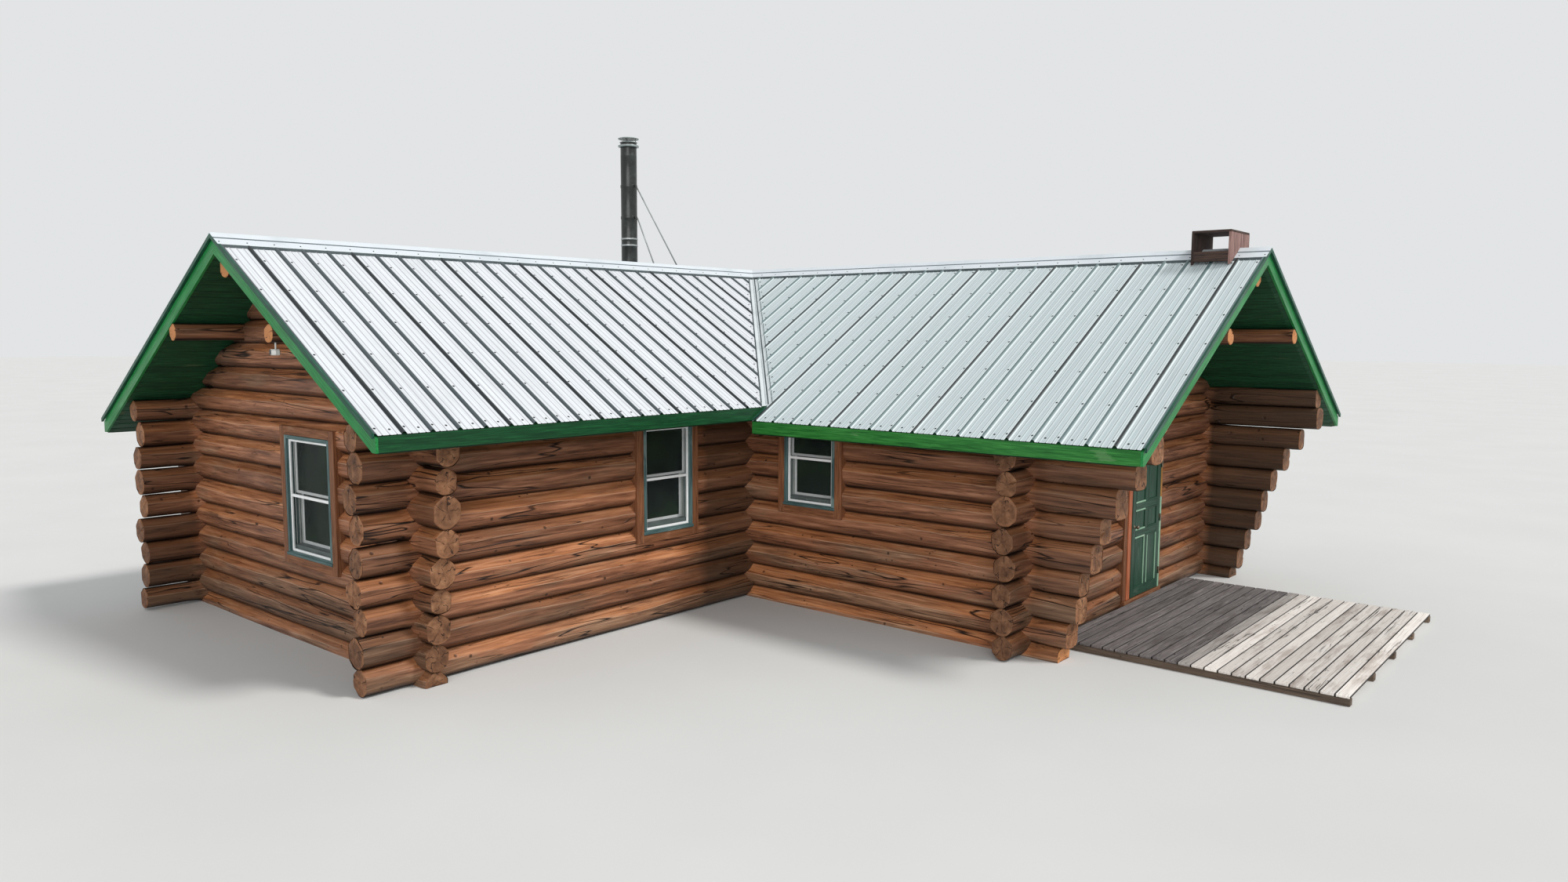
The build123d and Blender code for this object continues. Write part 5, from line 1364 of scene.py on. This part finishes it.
def floor_and_threshold():
    boards, joists, sill = [Pieces() for _ in range(3)]
    south, north = WALL_A_GABLE + WALL_EDGE, WALL_B_NORTH - WALL_EDGE
    bottom, top = FLOOR_LEVELS
    y = south
    row = 0
    while y < north - 0.02:
        far = min(y + FLOOR_PITCH - 0.002, north)
        at_corner = far > -WALL_EDGE and y < CORNER_NORTH
        cut = FLOOR_START + 1.2 + 2.6 * chance(row, 3)
        spans = [(FLOOR_START, cut - 0.001, y), (cut + 0.001, CORNER_SOUTH if at_corner else -WALL_EDGE, y)]
        if y > WALL_EDGE - 0.001 or far > WALL_EDGE + 0.03:
            spans.append((-0.165 if y > CORNER_NORTH else WALL_EDGE, FLOOR_END, max(y, WALL_EDGE)))
        for start, end, near in spans:
            board(boards, (start, near, bottom), (end, far - 0.002, top), 0.002, 0)
        y += FLOOR_PITCH
        row += 1
    count = math.floor((north - south) / JOIST_SPACING)
    for number in range(count + 1):
        near = south + number * (north - south - JOIST_WIDTH) / count
        far = near + JOIST_WIDTH
        end = -WALL_EDGE if near < WALL_EDGE + 0.3 else WALL_B_ENTRY - WALL_EDGE
        end = -0.32 if -WALL_EDGE < far and near < WALL_EDGE + 0.02 else end
        board(joists, (FLOOR_START, near, 0), (end, far, JOIST_TOP), 0.004, 0)
    board(sill, (WALL_B_ENTRY - Y_RADII[0], ROUGH_SOUTH, 0),
          (LEAF_FACE + 0.020, ROUGH_NORTH, SILL_TOP - 0.001), 0.008, 1, 0.4)
    boards.make("floor_boards", [FLOOR], "floor_board")
    joists.make("floor_joists", [FLOOR], "floor_board")
    sill.make("door_threshold", [BROWN], "brown_casing")


DECK_START = 4.5764
DECK_END = 7.8
DECK_SOUTH = 0.45
DECK_NORTH = 4.75
DECK_BOARDS = 22
DECK_GAP = 0.0045
DECK_LEVELS = (0.076, 0.1095)
# Painted shadow of the roof: boards starting before the first end lie in it, and before the second at its
# edge.
ROOF_SHADOW_END = 5.9
HALF_SHADOW_END = 6.15
NAIL = [(0, 0.0045), (0.0006, 0.004), (0.0008, 0.0)]


def entry_deck():
    boards, sleepers = Pieces(), Pieces()
    pitch = (DECK_END - DECK_START) / DECK_BOARDS
    rows = [DECK_SOUTH + row * (DECK_NORTH - DECK_SOUTH - JOIST_WIDTH) / 4 for row in range(5)]
    nails = []
    for number in range(DECK_BOARDS):
        low = DECK_START + number * pitch + DECK_GAP
        high = DECK_START + (number + 1) * pitch - DECK_GAP
        top = DECK_LEVELS[1] + 0.0015 * (chance(number, 8) - 0.5)
        tone = 0.15 + 0.7 * chance(number, 2)
        # Painted shadow: boards in the roof's shadow grow paler toward its edge.
        if low < ROOF_SHADOW_END:
            tone += 0.25 * max(0.0, low - 5.3)
        kind = 2 if low < ROOF_SHADOW_END else 3 if low < HALF_SHADOW_END else 0
        board(boards, (low, DECK_SOUTH + 0.012 * chance(number, 4), DECK_LEVELS[0]),
              (high, DECK_NORTH - 0.012 * chance(number, 5), top), 0.008, 1, tone, kind, True)
        nails += [(x + 0.006 * (chance(x, y + JOIST_WIDTH / 2) - 0.5), y + JOIST_WIDTH / 2, top + 0.0001)
                  for y in rows for x in (low + 0.028, high - 0.028)]
    for spot in nails:
        turned(boards, spot, (0, 0, 1), NAIL, 7, 0.3, 1, False)
    for y in rows:
        board(sleepers, (DECK_START, y, 0), (DECK_END, y + JOIST_WIDTH, DECK_LEVELS[0] - 0.0002), 0.005, 0)
    boards.make("deck_boards", [DECK, METAL, DECK_SHADOWED, DECK_HALF_SHADOWED], "deck_board")
    sleepers.make("deck_sleepers", [SLEEPER], "deck_board")


floor_and_threshold()
entry_deck()

# Stove pipe, with the rings of its cap as (level, outline)
PIPE_FOOT = 4.065
PIPE_TOP = 2.69
PIPE_INSIDE = 0.106
PIPE_SEAMS = (0.62, 1.08, 1.17, 1.52, 2.02, 2.48)
PIPE_BANDS = ((5.126, 5.150, 1), (5.228, 5.252, 1), (6.050, 6.095, 0), (5.555, 5.600, 0))
CAP_RINGS = (
    (6.7605, [(0, 0.107), (0, 0.140), (0.004, 0.142), (0.008, 0.140), (0.008, 0.107), (0, 0.107)]),
    (6.690, [(0, 0.1305), (0, 0.150), (0.004, 0.165), (0.026, 0.165), (0.030, 0.150), (0.034, 0.1305),
             (0, 0.1305)]),
    (6.822, [(0, 0.0), (0, 0.155), (-0.004, 0.160), (-0.004, 0.165), (0.006, 0.165), (0.010, 0.150),
             (0.0138, 0.0)]),
)
CAP_POST = [(0, 0.0), (0, 0.007), (0.060, 0.007), (0.060, 0.0)]
# Rings of the flashing cone: share of the way up, how much wider and how much higher
CONE_RINGS = ((0, 0.012, 0.0), (0, 0.010, 0.003), (0.0, 0.0, 0.004), (0.5, 0.0, 0.0), (1.0, 0.0, 0.0),
              (1.0, -0.004, 0.010), (1.0, -0.011, 0.010), (1.0, -0.011, -0.03))
CONE_AROUND = 48
CONE_TALL = 0.17
CONE_NECK = 0.142
BRACE_X = -2.720
BRACES = ((1.340, 6.050), (0.790, 5.555))
BRACE_RADIUS = 0.011
UP = (0, 0, 1)


def stove_pipe():
    x, y = PIPE_X, PIPE_Y
    pipe, bands, cap, cone, braces = [Pieces() for _ in range(5)]
    high, low = PIPE_RADIUS + 0.001, PIPE_RADIUS - 0.001
    outline = [(0, PIPE_RADIUS)]
    for seam in PIPE_SEAMS:
        outline += [(seam, low), (seam + 0.004, high), (seam + 0.010, low)]
    outline += [(PIPE_TOP, low), (PIPE_TOP + 0.005, PIPE_RADIUS - 0.004), (PIPE_TOP + 0.005, PIPE_INSIDE),
                (0, PIPE_INSIDE), (0, PIPE_RADIUS)]
    turned(pipe, (x, y, PIPE_FOOT), UP, outline, 40)
    for bottom, top, kind in PIPE_BANDS:
        tall = top - bottom
        turned(bands, (x, y, bottom), UP, [(0, 0.1305), (0, 0.134), (0.002, 0.135), (tall - 0.002, 0.135),
                                           (tall, 0.134), (tall, 0.1305), (0, 0.1305)], 40, 0.5, kind)
        if kind == 0:
            board(bands, (x + 0.130, y - 0.010, bottom + 0.006), (x + 0.160, y + 0.010, top - 0.006),
                  0.002, 2)
    for level, outline in CAP_RINGS:
        turned(cap, (x, y, level), UP, outline, 40)
    for degrees in (30, 150, 270):
        angle = math.radians(degrees)
        turned(cap, (x + 0.1175 * math.cos(angle), y + 0.1175 * math.sin(angle), 6.765), UP, CAP_POST, 10)
    turn = np.linspace(0, 2 * math.pi, CONE_AROUND, endpoint=False)
    roof = RIDGE - PITCH_A * (RIDGE_A - x)
    foot_radius = 0.1789 / (1 + 0.1507 * np.cos(turn))
    rings = []
    for share, out, lift in CONE_RINGS:
        radius = foot_radius * (1 - share) + CONE_NECK * share + out
        on_roof = roof + PITCH_A * radius * np.cos(turn) + 0.0197 * STRETCH_A
        z = on_roof * (1 - share) + (roof + CONE_TALL) * share + lift
        rings.append(np.stack([x + radius * np.cos(turn), y + radius * np.sin(turn), z], 1))
    cone.add(np.concatenate(rings), tube_faces(len(rings), CONE_AROUND), soft=True)
    for foot_y, height in BRACES:
        foot_z = RIDGE - PITCH_A * (RIDGE_A - BRACE_X) + 0.019 * STRETCH_A
        reach = np.array([BRACE_X - x, foot_y - y])
        reach = reach / np.linalg.norm(reach) * 0.135
        start = np.array([x + reach[0], y + reach[1], height + 0.0225])
        axis = np.array([BRACE_X, foot_y, foot_z + 0.012]) - start
        length = float(np.linalg.norm(axis))
        turned(braces, start, axis, [(0, 0.0), (0, BRACE_RADIUS), (length, BRACE_RADIUS), (length, 0.0)], 12)
        west, east, south, north = BRACE_X - 0.045, BRACE_X + 0.045, foot_y - 0.03, foot_y + 0.03
        slab(braces, A_WEST, [(west, south), (east, south), (east, north), (west, north)], 0.0194, 0.024)
    pipe.make("stove_pipe", [BLACK], "black_pipe")
    bands.make("stove_pipe_bands", [BLACK, BAND], "black_pipe")
    cap.make("stove_pipe_cap", [CAP_GREY], "black_pipe")
    cone.make("stove_pipe_flashing", [LEAD], "roof_steel")
    braces.make("stove_pipe_braces", [PALE_ROD], "black_pipe")


stove_pipe()

# Chimney box
BOX_WEST = 5.275
BOX_EAST = 5.732
BOX_PLANK = 0.028
BOX_HALF = 0.35
BOX_TOP = 5.0165
LID = (5.017, 5.045)


def chimney_box():
    pieces = Pieces()
    south, north = RIDGE_B - BOX_HALF, RIDGE_B + BOX_HALF
    planks = [(south, south + 0.178), (south + 0.180, RIDGE_B - 0.001), (RIDGE_B + 0.001, north - 0.180),
              (north - 0.178, north)]

    def roof_z(y):
        return RIDGE - PITCH_B * abs(y - RIDGE_B) + 0.0232 * STRETCH_B

    for start, kind in ((BOX_WEST, 1), (BOX_EAST, 0)):
        for number, (near, far) in enumerate(planks):
            ring = [(near, roof_z(near)), (far, roof_z(far)), (far, BOX_TOP), (near, BOX_TOP)]
            rings = [[(x, y, z) for y, z in ring] for x in (start, start + BOX_PLANK)]
            closed_prism(pieces, *rings, chance(start, number), kind, UP)
    for number, (near, far) in enumerate(planks):
        board(pieces, (BOX_WEST, near, LID[0]), (BOX_EAST + BOX_PLANK, far - 0.001, LID[1]), 0.003, 0,
              0.5 + 0.3 * chance(number, 9), 1)
    apron_top = RIDGE - PITCH_B * BOX_HALF + 0.192
    for near, far in ((south, south + BOX_PLANK), (north - BOX_PLANK, north)):
        foot = max(roof_z(near), roof_z(far)) + 0.022
        board(pieces, (BOX_WEST + BOX_PLANK, near, foot), (BOX_EAST, far, apron_top), 0.003, 0, 0.75, 1)
    pieces.make("chimney_box", [BOX, BOX_DARK], "weathered_board")


chimney_box()

# Small camera
CAMERA_LENS = [(0, 0.018), (0.0015, 0.018), (0.0015, 0.0)]
CAMERA_STEM = [(0, 0.009), (0.075, 0.009), (0.078, 0.024), (0.083, 0.030), (0.075, 0.030), (0.075, 0.0)]


def eave_camera():
    """A shell with a dark front, lens and back, on a stem under the end of a purlin."""
    pieces = Pieces()
    middle = x, y, z = PURLIN_EAST, POLE_END_A + 0.070, purlin_level - PURLIN_RADIUS - 0.105

    def block(low, high, *look):
        board(pieces, np.add(middle, low), np.add(middle, high), *look)

    block((-0.0845, -0.032, -0.032), (0.0455, 0.032, 0.032), 0.012, 0, 0.5)
    block((-0.0835, -0.0325, -0.024), (-0.0345, -0.026, 0.024), 0.003, 0, 0.5, 1)
    turned(pieces, (x - 0.059, y - 0.0300, z), (0, -1, 0), CAMERA_LENS, 24, 0.5, 1)
    block((-0.0850, -0.026, -0.026), (-0.0820, 0.026, 0.026), 0.002, 1, 0.5, 1)
    turned(pieces, (x, y, z + 0.030), UP, CAMERA_STEM, 20)
    pieces.make("eave_camera", [PLASTIC, BLACK], "camera_plastic")


eave_camera()

# CAD nodes that stay, with their finishes
for name in ("door_hinges_fixed", "door_hinges_swinging"):
    nodes[name].data.materials.clear()
    nodes[name].data.materials.append(METAL)

# Floor, light and camera
FLOOR_HALF = 160
WORLD_LIGHT = (0.94, 0.97, 1.0, 1)
WORLD_STRENGTH = 0.50
PHOTO_WIDTH = 2000
FOCAL_PIXELS = 1369.67
SENSOR = 36
CAMERA_PLACE = (10.233, -11.3136, 3.75)
CAMERA_AZIMUTH = math.radians(40.243)
CAMERA_DOWN = math.radians(5.767)
CAMERA_ROLL = math.radians(0.256)


def link(name, data):
    thing = bpy.data.objects.new(name, data)
    bpy.context.scene.collection.objects.link(thing)
    return thing


def stage_floor():
    finish = Finish("studio_floor", 0.9)
    cloud = finish.place().noise(0.4)
    finish.set("Base Color", cloud.ramp((0.3, (222, 222, 220)), (0.7, (226, 226, 224))))
    mesh = bpy.data.meshes.new("studio_floor")
    corners = [(x * FLOOR_HALF, y * FLOOR_HALF, 0) for x, y in ((-1, -1), (1, -1), (1, 1), (-1, 1))]
    mesh.from_pydata(corners, [], [(0, 1, 2, 3)])
    mesh.materials.append(finish.material)
    floor = link("studio_floor", mesh)
    floor.location.z = -0.001


def set_world():
    """A pale surround that is plain white-grey where it is seen, mirrored or seen through glass."""
    world = bpy.data.worlds.new("studio")
    bpy.context.scene.world = world
    world.use_nodes = True
    tree = world.node_tree
    tree.nodes.clear()
    lit = add_node(tree, "Background", {"Color": WORLD_LIGHT, "Strength": WORLD_STRENGTH})
    seen = add_node(tree, "Background", {"Color": linear((226, 228, 229)), "Strength": 1.0})
    rays = tree.nodes.new("ShaderNodeLightPath").outputs
    camera, glossy, through = [Field(tree, rays[f"Is {ray} Ray"])
                               for ray in ("Camera", "Glossy", "Transmission")]
    share = camera.calc("MAXIMUM", glossy).calc("MAXIMUM", through)
    out = tree.nodes.new("ShaderNodeOutputWorld")
    feed(out.inputs["Surface"], add_node(tree, "MixShader", {0: share, 1: lit, 2: seen}))


def add_sun(name, toward, strength, angle, colour):
    lamp = bpy.data.lights.new(name, "SUN")
    lamp.energy = strength
    lamp.angle = math.radians(angle)
    lamp.color = colour
    sun = link(name, lamp)
    sun.rotation_mode = "QUATERNION"
    sun.rotation_quaternion = Vector(toward).to_track_quat("-Z", "Y")


def set_camera():
    """The camera that was solved on the photo."""
    data = bpy.data.cameras.new("photo_view")
    data.sensor_width = SENSOR
    data.sensor_fit = "HORIZONTAL"
    data.lens = FOCAL_PIXELS / PHOTO_WIDTH * SENSOR
    data.clip_end = 500
    camera = link("photo_view", data)
    cos, sin, flat = math.cos(CAMERA_AZIMUTH), math.sin(CAMERA_AZIMUTH), math.cos(CAMERA_DOWN)
    forward = Vector((-sin * flat, cos * flat, -math.sin(CAMERA_DOWN)))
    side = Vector((cos, sin, 0))
    up = side.cross(forward)
    right = side * math.cos(CAMERA_ROLL) + up * math.sin(CAMERA_ROLL)
    top = up * math.cos(CAMERA_ROLL) - side * math.sin(CAMERA_ROLL)
    rows = zip(right, top, -forward, CAMERA_PLACE)
    camera.matrix_world = Matrix((*rows, (0, 0, 0, 1)))
    bpy.context.scene.camera = camera


stage_floor()
set_world()
add_sun("key_light", (-0.60, -0.22, -0.76), 1.75, 12, (1.0, 0.985, 0.96))
add_sun("fill_light", (-0.55, 0.78, -0.30), 1.05, 40, (1.0, 0.995, 0.98))
set_camera()
bpy.context.scene.view_settings.view_transform = "Standard"
